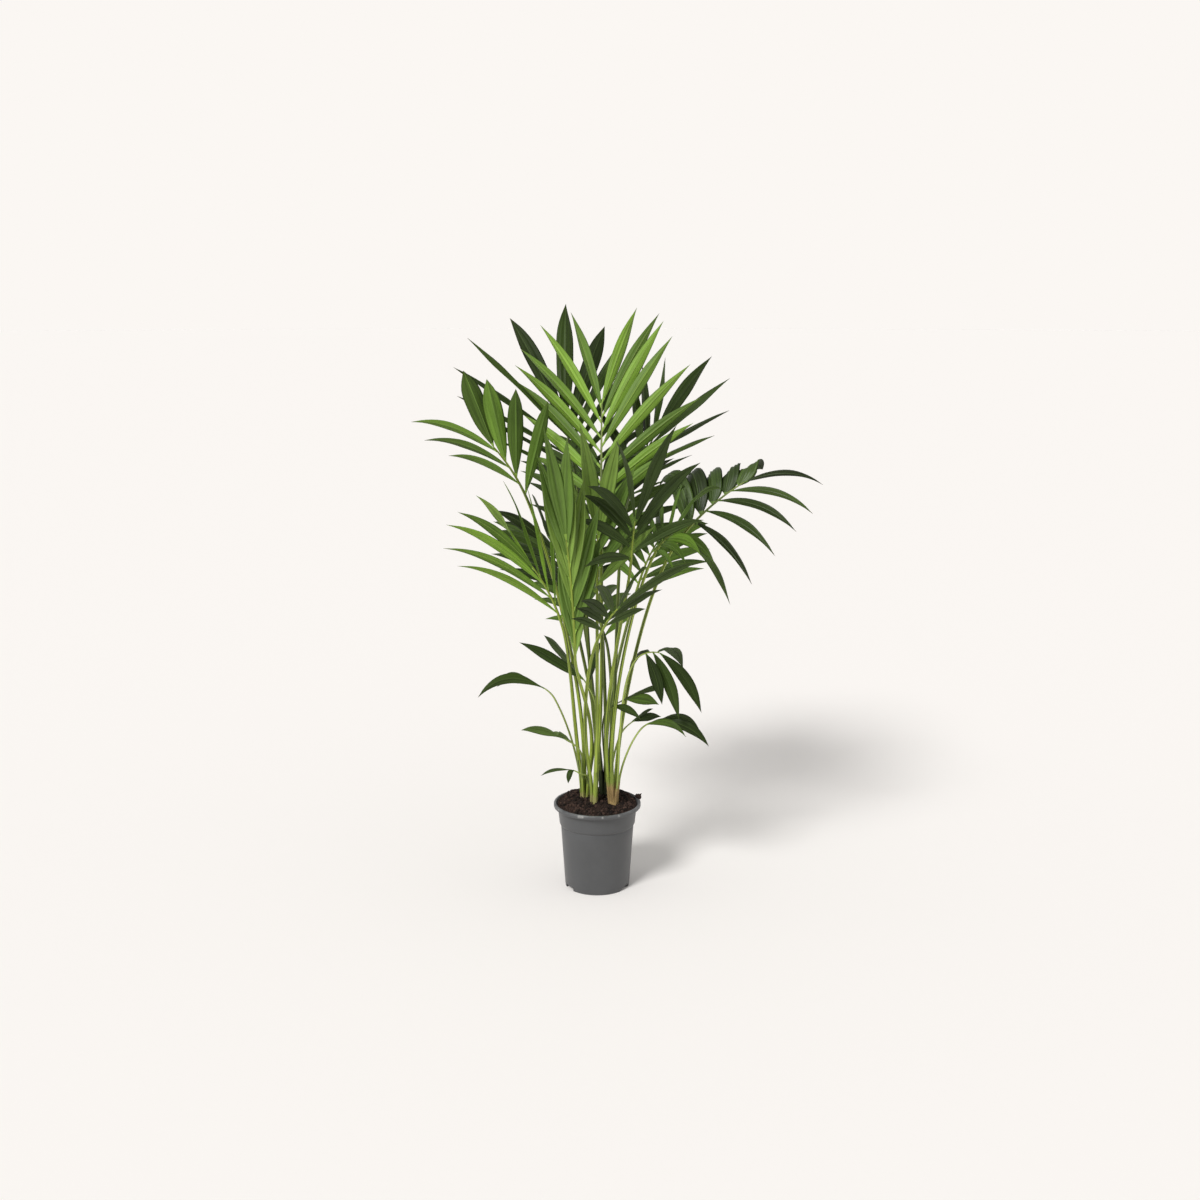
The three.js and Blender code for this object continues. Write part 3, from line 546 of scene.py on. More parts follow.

# neck: top of the stalk. out: compass way, 0 right and 90 back. rise and bow: how it climbs and nods. rachis
# and roll: length of its rib, and its turn about it. foot, middle, end: leaflet lengths. wide: their width.
# splay: leaflet angle at foot and tip. lift and sag: above the plane, and drop. others: what differs for the
# leaflets of its second side. low: one of the small fronds near the pot.
# tone: the leaf set of a frond, lighter or darker as painted light and painted shade
fronds = [
    {"name": "crown_front", "stem": "middle", "neck": (8, -40, 823), "out": 89, "rise": 71, "bow": 12,
     "rachis": 244, "roll": 16, "pairs": 8, "foot": 150, "middle": 296, "end": 232, "wide": 27,
     "splay": (54, 13), "lift": -1, "sag": 0.15, "tone": "bright", "footWidth": 0.9},
    {"name": "crown_back", "stem": "back", "neck": (-42, 110, 855), "out": 126, "rise": 77, "bow": 10,
     "rachis": 148, "roll": 8, "pairs": 7, "foot": 172, "middle": 280, "end": 276, "wide": 41,
     "splay": (66, 12), "lift": 3, "sag": 0.17, "tone": "dark", "louvre": -14, "others": {"end": 258,
     "wide": 40, "splay": (66, 16), "louvre": 24}},
    {"name": "left_high", "stem": "left", "neck": (-143, -10, 846), "out": 175, "rise": 68, "bow": 20,
     "rachis": 134, "roll": 80, "pairs": 4, "foot": 225, "middle": 188, "end": 162, "wide": 40,
     "splay": (36, 22), "lift": 4, "sag": 0.05, "tone": "mid", "footWidth": 0.7, "others": {"foot": 110,
     "middle": 175, "end": 190, "wide": 20, "splay": (34, 8), "lift": -12, "sag": 0.42}},
    {"name": "right", "stem": "right", "neck": (174, 10, 766), "out": 0, "rise": 52, "bow": 20,
     "rachis": 178, "roll": -48, "pairs": 6, "foot": 190, "middle": 215, "end": 165, "wide": 15,
     "splay": (90, 10), "lift": 7, "sag": 0.64, "tone": "glossy", "footWidth": 1.8, "louvre": 40,
     "others": {"foot": 270, "middle": 140, "end": 90, "wide": 46, "splay": (66, 34), "sag": 1,
     "footWidth": 1, "louvre": 4}},
    {"name": "right_back", "stem": "back", "neck": (67, 120, 832), "out": 49, "rise": 64, "bow": 16,
     "rachis": 165, "roll": -9, "pairs": 6, "foot": 60, "middle": 204, "end": 232, "wide": 30,
     "splay": (62, 9), "lift": 1, "sag": 0.16, "tone": "dark"},
    {"name": "left_low", "stem": "left", "neck": (-71, -70, 591), "out": 185, "rise": 75, "bow": 21,
     "rachis": 146, "roll": 59, "pairs": 5, "foot": 220, "middle": 245, "end": 180, "wide": 22,
     "splay": (33, 6), "lift": 1, "sag": 0.38, "tone": "bright"},
    {"name": "young_front", "stem": "left", "neck": (-45, -120, 542), "out": -103, "rise": 85, "bow": 20,
     "rachis": 264, "roll": -3, "pairs": 6, "foot": 215, "middle": 235, "end": 246, "wide": 24,
     "splay": (8, 5), "lift": 4, "sag": 0.08, "tone": "bright", "footWidth": 1.1, "others": {"foot": 225,
     "wide": 28, "splay": (14, 6)}},
    {"name": "centre", "stem": "middle", "neck": (0, -60, 648), "out": -88, "rise": 83, "bow": 8,
     "rachis": 144, "roll": -1, "pairs": 5, "foot": 173, "middle": 180, "end": 234, "wide": 32,
     "splay": (42, 7), "lift": 2, "sag": 0.1, "tone": "bright"},
    {"name": "right_front", "stem": "right", "neck": (69, -95, 735), "out": -72, "rise": 78, "bow": 6,
     "rachis": 90, "roll": -27, "pairs": 5, "foot": 150, "middle": 182, "end": 215, "wide": 32,
     "splay": (74, 14), "lift": 8, "sag": 0.36, "tone": "dark"},
    {"name": "right_low", "stem": "right", "neck": (119, -60, 747), "out": -12, "rise": 62, "bow": 26,
     "rachis": 60, "roll": -37, "pairs": 5, "foot": 100, "middle": 150, "end": 150, "wide": 28,
     "splay": (71, 26), "lift": 14, "sag": 0.7, "tone": "mid"},
    {"name": "front_low", "stem": "middle", "neck": (8, -120, 592), "out": -48, "rise": 59, "bow": 19,
     "rachis": 78, "roll": 3, "pairs": 5, "foot": 89, "middle": 133, "end": 209, "wide": 26,
     "splay": (69, 20), "lift": 16, "sag": 0.35, "tone": "dark"},
    {"name": "left_back", "stem": "back", "neck": (-42, 100, 615), "out": 151, "rise": 69, "bow": 17,
     "rachis": 129, "roll": 9, "pairs": 6, "foot": 171, "middle": 160, "end": 158, "wide": 27,
     "splay": (57, 20), "lift": 3, "sag": 0.35, "tone": "glossy"},
    {"name": "rear", "stem": "back", "neck": (6, 200, 686), "out": 88, "rise": 62, "bow": 32, "rachis": 240,
     "roll": 0, "pairs": 8, "foot": 170, "middle": 250, "end": 180, "wide": 32, "splay": (58, 18),
     "lift": 8, "sag": 0.3, "tone": "dark"},
    {"name": "rear_left", "stem": "back", "neck": (-60, 165, 600), "out": 108, "rise": 50, "bow": 30,
     "rachis": 190, "roll": 0, "pairs": 7, "foot": 150, "middle": 190, "end": 150, "wide": 30,
     "splay": (58, 18), "lift": 8, "sag": 0.3, "tone": "dark"},
    {"name": "rear_right", "stem": "right", "neck": (85, 160, 615), "out": 66, "rise": 52, "bow": 32,
     "rachis": 180, "roll": 0, "pairs": 7, "foot": 150, "middle": 170, "end": 150, "wide": 30,
     "splay": (58, 18), "lift": 8, "sag": 0.35, "tone": "mid"},
    {"name": "rear_low", "stem": "back", "neck": (19, 130, 518), "out": 112, "rise": 48, "bow": 35,
     "rachis": 150, "roll": 0, "pairs": 6, "foot": 110, "middle": 160, "end": 150, "wide": 28,
     "splay": (60, 18), "lift": 10, "sag": 0.4, "tone": "mid"},
    {"name": "low_left", "stem": "left", "neck": (-91, -60, 440), "out": 177, "rise": 56, "bow": 34,
     "rachis": 38, "roll": 4, "pairs": 1, "foot": 147, "middle": 169, "end": 119, "wide": 24,
     "splay": (24, 24), "lift": 10, "sag": 1, "tone": "dark", "low": True},
    {"name": "low_left_back", "stem": "left", "neck": (-15, -20, 445), "out": 140, "rise": 52, "bow": 14,
     "rachis": 36, "roll": 2, "pairs": 2, "foot": 100, "middle": 150, "end": 145, "wide": 28,
     "splay": (46, 16), "lift": 4, "sag": 0.22, "tone": "dark", "low": True},
    {"name": "low_front", "stem": "left", "neck": (-41, -60, 329), "out": -159, "rise": 49, "bow": 20,
     "rachis": 34, "roll": -9, "pairs": 2, "foot": 84, "middle": 94, "end": 96, "wide": 22,
     "splay": (77, 18), "lift": 13, "sag": 0.47, "tone": "mid", "low": True},
    {"name": "low_foot", "stem": "left", "neck": (-39, -55, 272), "out": 178, "rise": 36, "bow": 29,
     "rachis": 16, "roll": -17, "pairs": 1, "foot": 72, "middle": 72, "end": 72, "wide": 8,
     "splay": (16, 16), "lift": 3, "sag": 0.62, "tone": "dark", "low": True, "others": {"foot": 38,
     "middle": 38, "end": 38, "wide": 15, "splay": (60, 60), "sag": 3}},
    {"name": "low_right", "stem": "right", "neck": (96, -40, 528), "out": 15, "rise": 20, "bow": 39,
     "rachis": 38, "roll": 8, "pairs": 3, "foot": 100, "middle": 151, "end": 155, "wide": 26,
     "splay": (95, 21), "lift": -60, "sag": 1.1, "tone": "dark", "footWidth": 1, "low": True,
     "others": {"foot": 125, "splay": (140, 21), "lift": 22}},
    {"name": "low_right_back", "stem": "back", "neck": (23, -20, 401), "out": -17, "rise": 45, "bow": 24,
     "rachis": 48, "roll": -4, "pairs": 2, "foot": 64, "middle": 117, "end": 86, "wide": 24,
     "splay": (52, 18), "lift": 1, "sag": 0.43, "tone": "dark", "low": True},
    {"name": "low_right_front", "stem": "right", "neck": (98, -30, 366), "out": -4, "rise": 42, "bow": 37,
     "rachis": 34, "roll": -7, "pairs": 2, "foot": 120, "middle": 104, "end": 123, "wide": 24,
     "splay": (27, 13), "lift": 3, "sag": 0.93, "tone": "dark", "low": True},
    {"name": "low_right_thin", "stem": "right", "neck": (58, 20, 346), "out": 12, "rise": 48, "bow": 20,
     "rachis": 27, "roll": 2, "pairs": 1, "foot": 71, "middle": 65, "end": 62, "wide": 18,
     "splay": (22, 22), "lift": 5, "sag": 0.39, "tone": "dark", "low": True},
]

# Small turns that a leaflet may take to keep clear of its neighbours: lift, splay and share of its length
dodges = [(0, 0, 1)] + [(lift, splay, share) for share in (1, 0.8, 0.6)
                        for lift in (9, -9, 18, -18, 27, -27, 36, -36) for splay in (0, -8, 8)]


def mix(first, second, share):
    return first + (second - first) * share


def level(out):  # a level way, from its compass angle
    return Vector((math.cos(math.radians(out)), math.sin(math.radians(out)), 0))


def rachisPath(frond):
    headings = []
    for i in range(rachis["steps"] + 1):
        rise = math.radians(frond["rise"] - frond["bow"] * i / rachis["steps"])
        headings.append(level(frond["out"]) * math.cos(rise) + skyward * math.sin(rise))
    points = [Vector(frond["neck"])]
    for i in range(rachis["steps"]):
        points.append(points[i] + (headings[i] + headings[i + 1]) * (frond["rachis"] / rachis["steps"] / 2))
    return points, headings


def along(frond, share):  # a point on the rachis, and the way it runs there
    points, headings = rachisPath(frond)
    at = min(max(share, 0), 1) * rachis["steps"]
    i = min(int(at), rachis["steps"] - 1)
    return points[i].lerp(points[i + 1], at - i), headings[i].lerp(headings[i + 1], at - i).normalized()


def neckRadius(frond):
    return stalk["lowNeckRadius"] if frond.get("low") else stalk["neckRadius"]


def rachisRadius(frond, share):
    return mix(neckRadius(frond), rachis["lowTipRadius"] if frond.get("low") else rachis["tipRadius"], share)


def frondFrame(frond, heading):  # across the frond's plane, and out of it
    flat = Vector((math.sin(math.radians(frond["out"])), -math.cos(math.radians(frond["out"])), 0))
    up = flat.cross(heading)
    roll = math.radians(frond["roll"])
    return flat * math.cos(roll) + up * math.sin(roll), up * math.cos(roll) - flat * math.sin(roll)


def valuesOf(frond, side):  # a frond's values, with those that differ for the leaflets of its second side
    return {**frond, **frond["others"]} if side < 0 and "others" in frond else frond


def uneven(frond, side, index):  # from -1 to 1, its own for every leaflet
    return math.sin(5 * index + 2 * side + frond["neck"][2])


def leafletLine(frond, side, index, dodge):  # the midline of a leaflet, as in the solids
    own = valuesOf(frond, side)
    liftTurn, splayTurn, lengthShare = dodge
    spread = max(frond["pairs"] - 1, 1) + leaflet["stagger"]
    share = 1 - (index + (0 if side > 0 else leaflet["stagger"])) / spread
    point, heading = along(frond, share)
    across, over = frondFrame(frond, heading)
    evenLength = (own["foot"] * (1 - share) * (1 - 2 * share) + 4 * own["middle"] * share * (1 - share)
                  + own["end"] * share * (2 * share - 1))
    length = lengthShare * evenLength * (1 + leaflet["unevenLength"] * math.cos(7 * index + side))
    turn = leaflet["unevenTurn"] * uneven(frond, side, index)
    footSplay, tipSplay = own["splay"]
    evenSplay = tipSplay + (footSplay - tipSplay) * (1 - share) ** leaflet["splayFall"]
    splay = math.radians(evenSplay + splayTurn + turn)
    lift = math.radians(own["lift"] + liftTurn - turn)
    aim = (heading * math.cos(splay) + across * (math.sin(splay) * math.cos(lift) * side)
           + over * (math.sin(splay) * math.sin(lift)))
    points = [point]
    for i in range(leaflet["steps"]):
        bend = own["sag"] * leaflet["sagGain"] * ((i + 0.5) / leaflet["steps"]) ** leaflet["sagPower"]
        points.append(points[i] + (aim - skyward * bend).normalized() * (length / leaflet["steps"]))
    return points, heading, share


def smoothAt(points, share):  # a point on the smooth curve through the points, and the way it runs there
    at = min(share * (len(points) - 1), len(points) - 1.0001)
    i = int(at)
    t = at - i
    b, c = points[i], points[i + 1]
    a = points[i - 1] if i else b * 2 - c
    d = points[i + 2] if i + 2 < len(points) else c * 2 - b
    square, cube = a * 2 - b * 5 + c * 4 - d, b * 3 - a - c * 3 + d
    place = (b * 2 + (c - a) * t + square * t ** 2 + cube * t ** 3) / 2
    run = ((c - a) + square * (2 * t) + cube * (3 * t ** 2)) / 2
    return place, run.normalized()


def cornersOf(nodeName):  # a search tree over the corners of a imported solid, in millimetres
    corners = [vertex.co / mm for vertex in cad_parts[nodeName].data.vertices]
    tree = kdtree.KDTree(len(corners))
    for i, corner in enumerate(corners):
        tree.insert(corner, i)
    tree.balance()
    return tree


# widest: where along a blade it is widest. fall: how long it stays wide past there. kinds: the fronds whose
# blades are blunter or longer on their first or second side; the folded ones are widest near their feet.
# fuller: a frond's blades are wider. turned: how far its lower leaflets turn their edges to the front, in
# degrees for each side, from none at turnedFrom of the way up the rib to the whole at turnedBy.
bladeShape = {"stations": 18, "rise": 2.1, "sharp": 1.2, "match": 0.2, "twist": 9, "rootFall": 3,
              "phase": 2.1, "usual": {"widest": 0.54, "fall": 1.75},
              "blunt": {"widest": 0.6, "fall": 2.7}, "folded": {"widest": 0.36, "fall": 3.2},
              "kinds": {"crown_back": ("blunt", "blunt"), "left_high": ("blunt", "usual"),
                        "right": ("usual", "folded")},
              "fuller": {"young_front": 1.3, "left_high": 1.08, "centre": 1.1},
              "turned": {"crown_back": (-56, -74), "right_back": (-58, 0)},
              "turnedFrom": 0.9, "turnedBy": 0.78}


def bladeKind(frond, side):  # side is 1 or -1, and a pair of values has the first side's first
    kinds = bladeShape["kinds"].get(frond["name"], ("usual", "usual"))
    return bladeShape[kinds[0 if side > 0 else 1]]


def bladeWidth(share, kind):  # half width of a blade, 1 at its widest, with a long thin tip
    if share < kind["widest"]:
        return 1 - (1 - share / kind["widest"]) ** bladeShape["rise"]
    past = (share - kind["widest"]) / (1 - kind["widest"])
    return (1 - past ** kind["fall"]) ** bladeShape["sharp"]


def leafletLouvre(frond, side, share):  # how far a leaflet is turned about its own length, in degrees
    usual = valuesOf(frond, side).get("louvre", leaflet["louvre"])
    turned = bladeShape["turned"].get(frond["name"], (0, 0))[0 if side > 0 else 1]
    fromTip = (bladeShape["turnedFrom"] - share) / (bladeShape["turnedFrom"] - bladeShape["turnedBy"])
    return usual + turned * min(max(fromTip, 0), 1)


def leafletPath(frond, side, index, dodge):  # the stations along a blade, which give its width, turn and tint
    points, heading, share = leafletLine(frond, side, index, dodge)
    own = valuesOf(frond, side)
    root = leaflet["rootShare"] * rachisRadius(frond, share)
    half = own["wide"] * mix(own.get("footWidth", leaflet["footWidth"]), 1, share) / 2
    half *= bladeShape["fuller"].get(frond["name"], 1)
    louvre = leafletLouvre(frond, side, share)
    kind = bladeKind(frond, side)
    path = []
    for i in range(bladeShape["stations"] + 1):
        way = i / bladeShape["stations"]
        point, forward = smoothAt(points, way)
        flat = (heading - forward * heading.dot(forward)).normalized()
        normal = forward.cross(flat) * side
        tilt = math.radians(louvre + bladeShape["twist"] * uneven(frond, side, index) * way ** 2)
        width = max(half * bladeWidth(way, kind), root * (1 - way) ** bladeShape["rootFall"])
        path.append({"point": point, "halfWidth": width * mm, "along": way,
                     "facing": normal * math.cos(tilt) - flat * math.sin(tilt),
                     "phase": bladeShape["phase"] * index + side + frond["neck"][0],
                     "tint": float((3 * index + (side > 0) + int(frond["neck"][2])) % 4)})
    return path


# How each tone of leaflet is folded, pleated and waved
leafletFinish = {
    "bright": {"Fold": 0.3, "Pleats": 2.0, "Pleat Depth": 0.045, "Wave": 0.05},
    "mid": {"Fold": 0.3, "Pleats": 2.0, "Pleat Depth": 0.05, "Wave": 0.06},
    "dark": {"Fold": 0.28, "Pleats": 2.0, "Pleat Depth": 0.05, "Wave": 0.06},
    "glossy": {"Fold": 0.24, "Pleats": 2.5, "Pleat Depth": 0.06, "Wave": 0.08},
}


def makeLeaflets(frond):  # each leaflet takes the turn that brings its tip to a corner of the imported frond
    corners = cornersOf("frond_" + frond["name"])
    paths = []
    for index in range(frond["pairs"]):
        for side in (1, -1):
            for dodge in dodges:
                tip = leafletLine(frond, side, index, dodge)[0][-1]
                if corners.find(tip)[2] < bladeShape["match"]:
                    paths.append(leafletPath(frond, side, index, dodge))
                    break
    name = "leaflets_" + frond["name"]
    values = dict(zip(leafletParts, leafSets[frond["tone"]]), **leafletFinish[frond["tone"]])
    piece = grow(name, pathMesh(name, paths), leafletTree, values)
    claim(piece, "leaf_" + frond["tone"], "frond_" + frond["name"])
    return len(paths)


# Stems and stalks


def bearing(frond):  # the way from the stem to the frond's neck
    x, y = stemFeet[frond["stem"]]
    return math.atan2(frond["neck"][1] - y, frond["neck"][0] - x)


def sheathsOf(stemName):  # one lobe for each frond, spread evenly round the stem
    bunch = sorted([frond for frond in fronds if frond["stem"] == stemName], key=bearing)
    x, y = stemFeet[stemName]
    apart = 2 * math.pi / len(bunch)
    first = sum(bearing(frond) - apart * i for i, frond in enumerate(bunch)) / len(bunch)
    spread = sheath["topSpread"] if len(bunch) < sheath["crowd"] else sheath["crowdSpread"]
    lean = math.radians(sheath["lean"])
    lobes = []
    for i, frond in enumerate(bunch):
        outward = Vector((math.cos(first + apart * i), math.sin(first + apart * i), 0))
        isLow = frond.get("low", False)
        height = sheath["low"] + sheath["step"] * (i % 2 if isLow else 2 + i % 3)
        lobes.append({"frond": frond, "outward": outward,
                      "foot": Vector((x, y, sheath["footHeight"])) + outward * sheath["footSpread"],
                      "top": Vector((x, y, height)) + outward * spread,
                      "heading": outward * math.sin(lean) + skyward * math.cos(lean),
                      "radius": stalk["lowFootRadius"] if isLow else stalk["footRadius"]})
    return lobes


def stalkCurve(lobe, sway):  # from the sheath to the neck, bowed sideways by the sway
    frond = lobe["frond"]
    end = along(frond, 0)[1]
    start = lobe["top"] + lobe["heading"] * stalk["clear"]
    finish = Vector(frond["neck"]) - end * stalk["clear"]
    reach = (finish - start).length
    second = start + lobe["heading"] * (stalk["footHandle"] * reach) + sway
    third = finish - end * (stalk["neckHandle"] * reach) + sway

    def at(share):
        keep = 1 - share
        return (start * keep ** 3 + second * (3 * keep ** 2 * share)
                + third * (3 * keep * share ** 2) + finish * share ** 3)

    return at


def findStalk(lobe):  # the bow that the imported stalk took, found by its ring of corners near the middle
    corners = cornersOf("stalk_" + lobe["frond"]["name"])
    share = 3 / stalk["stations"]
    radius = mix(lobe["radius"], neckRadius(lobe["frond"]), share)
    for step in range(stalk["swaysTried"]):
        size = stalk["swayStep"] * math.ceil(step * stalk["swayTurn"] / 360)
        curve = stalkCurve(lobe, level(stalk["swayTurn"] * step) * size)
        middle = curve(share)
        ring = [Vector(found[0]) for found in corners.find_n(middle, stalk["sides"])]
        if all(abs((corner - middle).length - radius) < stalk["match"] for corner in ring):
            return curve
    print("no bow found for", lobe["frond"]["name"])
    return stalkCurve(lobe, Vector((0, 0, 0)))


petiole = {"sunk": 14, "stalkSteps": 48, "rachisSteps": 18, "sides": 12, "flat": 0.28}


def petioleLook(frond):
    # the stalks of the back stem take the darker copy, painted shade
    if frond["stem"] == "back":
        return "petiolePaintedShade"
    return "petioleThin" if frond.get("low") else "petiole"


def makePetiole(lobe):  # stalk and rachis as one limb, down into its sheath
    frond = lobe["frond"]
    curve = findStalk(lobe)
    stations = [(lobe["top"] - lobe["heading"] * petiole["sunk"], lobe["radius"])]
    for i in range(petiole["stalkSteps"] + 1):
        share = i / petiole["stalkSteps"]
        stations.append((curve(share), mix(lobe["radius"], neckRadius(frond), share)))
    for i in range(petiole["rachisSteps"] + 1):
        share = i / petiole["rachisSteps"]
        stations.append((along(frond, share)[0], rachisRadius(frond, share)))
    path, distance = [], 0
    for i, (point, radius) in enumerate(stations):
        before, after = stations[max(i - 1, 0)][0], stations[min(i + 1, len(stations) - 1)][0]
        run = (after - before).normalized()
        over = frondFrame(frond, run)[1]
        distance += (point - before).length
        path.append({"point": point, "halfWidth": radius * mm, "distance": distance * mm,
                     "facing": (over - run * over.dot(run)).normalized()})
    name = "petiole_" + frond["name"]
    values = {"Sides": petiole["sides"], "Flat": petiole["flat"],
              "Material": limbMaterials[petioleLook(frond)]}
    claim(grow(name, pathMesh(name, [path]), limbTree, values), "stalk", "stalk_" + frond["name"])


# the back stem's sheaths are dark as painted shade
stemLooks = {"left": ("sheathGreen", "stem_green"), "middle": ("sheathGreen", "stem_green"),
             "back": ("sheathPaintedShade", "stem_dark"), "right": ("sheathHusk", "stem_husk")}
sheathSteps = {"steps": 22, "sides": 18, "slim": 0.82}


def makeStem(stemName, lobes):  # overlapping sheaths, each wrapped round the foot of its stalk
    paths = []
    for lobe in lobes:
        waist = lobe["top"] - lobe["heading"] * (sheath["waist"] * (lobe["top"].z - lobe["foot"].z))
        bulge = lobe["radius"] + sheath["waistThicker"]
        top = lobe["radius"] + sheath["topThicker"]
        path, distance = [], 0
        for i in range(sheathSteps["steps"] + 1):
            share = i / sheathSteps["steps"]
            keep = 1 - share
            point = lobe["foot"] * keep ** 2 + waist * (2 * keep * share) + lobe["top"] * share ** 2
            radius = sheath["footRadius"] * keep ** 2 + bulge * (2 * keep * share) + top * share ** 2
            if path:
                distance += (point - path[-1]["point"]).length
            slim = mix(sheathSteps["slim"], 1, share ** 2)
            path.append({"point": point, "halfWidth": radius * slim * mm, "facing": lobe["outward"],
                         "distance": distance * mm})
        paths.append(path)
    name = "sheaths_" + stemName
    material, slotName = stemLooks[stemName]
    values = {"Sides": sheathSteps["sides"], "Flat": 0.0, "Material": limbMaterials[material]}
    claim(grow(name, pathMesh(name, paths), limbTree, values), slotName, "stem_" + stemName)


lobesOf = {name: sheathsOf(name) for name in stemFeet}
for stemName, lobes in lobesOf.items():
    makeStem(stemName, lobes)
    for lobe in lobes:
        makePetiole(lobe)
print("stems and stalks made")
leafletCount = sum(makeLeaflets(frond) for frond in fronds)
print("leaflets made:", leafletCount)

# The pot, a thin moulded shell turned about its axis
pot = {"height": 188, "footRadius": 70, "wallTopRadius": 79.3, "collarHeight": 141, "collarFootRadius": 82,
       "collarTopRadius": 85.5, "lipRadius": 94.5, "lipHeight": 9, "lipFlat": 5, "step": 3, "wall": 1.8,
       "panRadius": 60, "panFloor": 3, "floorThick": 2, "channelHeight": 9, "notches": 3, "notchWidth": 24,
       "notchHeight": 7.5, "notchTurn": 90, "notchLean": 0.25, "notchClear": 1.2, "roundLip": 2.2,
       "roundFoot": 0.9, "roundRim": 0.8, "bead": 0.6, "beadDrop": 4, "beadHeight": 1.4, "sides": 120,
       "sharpAbove": 32, "wallRows": (0.1, 0.25, 0.4, 0.55, 0.7, 0.85), "collarRows": (0.2, 0.5, 0.8, 1)}


def arc(radius, height, size, start, end, steps=5):  # round a centre, from one angle to another
    turns = [math.radians(mix(start, end, i / steps)) for i in range(steps + 1)]
    return [(radius + size * math.cos(t), height + size * math.sin(t)) for t in turns]


def potOutline():  # radius and height round the section, from the middle of the underside and back inside
    foot, wallTop, wall, pan = pot["footRadius"], pot["wallTopRadius"], pot["wall"], pot["panRadius"]
    collar, collarFoot, collarTop = pot["collarHeight"], pot["collarFootRadius"], pot["collarTopRadius"]
    lip, lipTop, lipFoot = pot["lipRadius"], pot["height"], pot["height"] - pot["lipHeight"]
    channel, step, floor = pot["channelHeight"], pot["step"], pot["channelHeight"] + pot["floorThick"]
    roundFoot, roundLip, roundRim = pot["roundFoot"], pot["roundLip"], pot["roundRim"]
    beadTop = collar - pot["beadDrop"]
    beadRadius = mix(foot, wallTop, beadTop / collar)
    # the raised pan, the channel round it and the foot
    outline = [(0, 0), (pan - 1, 0), (pan, 1), (pan + 1, channel), (foot - wall, channel),
               (foot - wall, 0.3), (foot - wall + 0.3, 0)]
    outline += arc(foot - roundFoot, roundFoot, roundFoot, -90, 0, 4)
    # the wall, the bead round its top and the step out to the collar
    outline += [(mix(foot, wallTop, share), collar * share) for share in pot["wallRows"]]
    outline += [(beadRadius, beadTop), (beadRadius - pot["bead"], beadTop + pot["beadHeight"]),
                (wallTop - 0.2, collar - 1), (wallTop + 0.3, collar + 0.2), (collarFoot - 0.9, collar + 1.2),
                (collarFoot - 0.1, collar + 2.1), (collarFoot + 0.2, collar + step + 0.8)]
    # the collar, and the lip with its flat top
    outline += [(mix(collarFoot, collarTop, share), mix(collar + step, lipFoot - step, share))
                for share in pot["collarRows"]]
    outline += [(collarTop + 0.4, lipFoot - 1.2), (collarTop + 1.6, lipFoot - 0.3)]
    outline += arc(lip - roundLip, lipFoot + roundLip, roundLip, -90, 0)
    outline += arc(lip - roundLip, lipTop - roundLip, roundLip, 0, 90)
    outline += arc(lip - pot["lipFlat"] + roundRim, lipTop - roundRim, roundRim, 90, 170, 3)
    # down the inside and across the floor
    outline += [(collarTop - wall + 0.8, lipFoot), (collarTop - wall, lipFoot - 2),
                (collarFoot - wall, collar + step), (wallTop - wall, collar), (foot - 0.8, floor),
                (pan - 1, floor), (pan - 2, pot["panFloor"]), (0, pot["panFloor"])]
    footRow = [i for i, (radius, height) in enumerate(outline)
               if radius > foot - wall - 0.1 and height <= roundFoot]
    return outline, footRow


def potTurns():  # the turns of the shell's rows, doubled at each side of a notch, and how much notch is there
    turns = [(360 * i / pot["sides"], None) for i in range(pot["sides"])]
    half, lean = pot["notchWidth"] / 2, pot["notchLean"]
    middles = [(pot["notchTurn"] + 360 * i / pot["notches"]) % 360 for i in range(pot["notches"])]
    for middle in middles:
        turns = [t for t in turns
                 if min(abs(abs(t[0] - middle) - half), 360 - abs(t[0] - middle) + half) > pot["notchClear"]]
        turns += [((middle + side * (half + lean * way)) % 360, 0 if way > 0 else 1)
                  for side in (-1, 1) for way in (-1, 1)]
    rows = []
    for turn, share in sorted(turns):
        inNotch = any(abs((turn - middle + 180) % 360 - 180) < half for middle in middles)
        rows.append((math.radians(turn), share if share is not None else float(inNotch)))
    return rows


def makePot():
    outline, footRow = potOutline()
    taper = (pot["wallTopRadius"] - pot["footRadius"]) / pot["collarHeight"]
    shape = bmesh.new()
    rows = []
    for turn, notch in potTurns():
        row = []
        for i, (radius, height) in enumerate(outline):
            lift = pot["notchHeight"] * notch if i in footRow else 0
            out = radius + taper * lift
            place = Vector((out * math.cos(turn), out * math.sin(turn), height + lift))
            row.append(shape.verts.new(place * mm))
        rows.append(row)
    for row, after in zip(rows, rows[1:] + rows[:1]):
        for i in range(len(outline) - 1):
            shape.faces.new((row[i], after[i], after[i + 1], row[i + 1]))
    bmesh.ops.remove_doubles(shape, verts=shape.verts, dist=0.00001)
    bmesh.ops.recalc_face_normals(shape, faces=shape.faces)
    return meshPiece("potShell", shape, [makePotMaterial()], pot["sharpAbove"])


potLook = {"body": "474849", "pale": "5a5b5c", "lip": "7b7c7c", "scuff": "b4b3af", "dust": "77756f",
           "roughness": 0.4, "roughnessSpread": (-0.04, 0.08), "specular": 0.5, "mottle": (14.0, 0.7),
           "paleShare": 0.5, "grain": (900.0, 2.0, 0.6), "grainStrength": 0.15, "grainDepth": 0.0002,
           "specks": (520.0, 0.16), "dustShare": 0.5, "edgeFrom": 5.5, "edgeTo": 0.5, "edgeShare": 0.65,
           "edgeClouds": (45.0, 3.0, 0.6), "edgeRange": (0.35, 0.65), "scratches": (1.0, 4.0, 0.7),
           "scratchStretch": (420, 420, 150), "scuffDrop": 3, "scuffDepth": 0.8, "scuffRange": (0.18, 0.42),
           "scuffs": [(-24, 9), (-19, 6), (7, 6), (29, 7), (-62, 5), (150, 8), (205, 6)]}


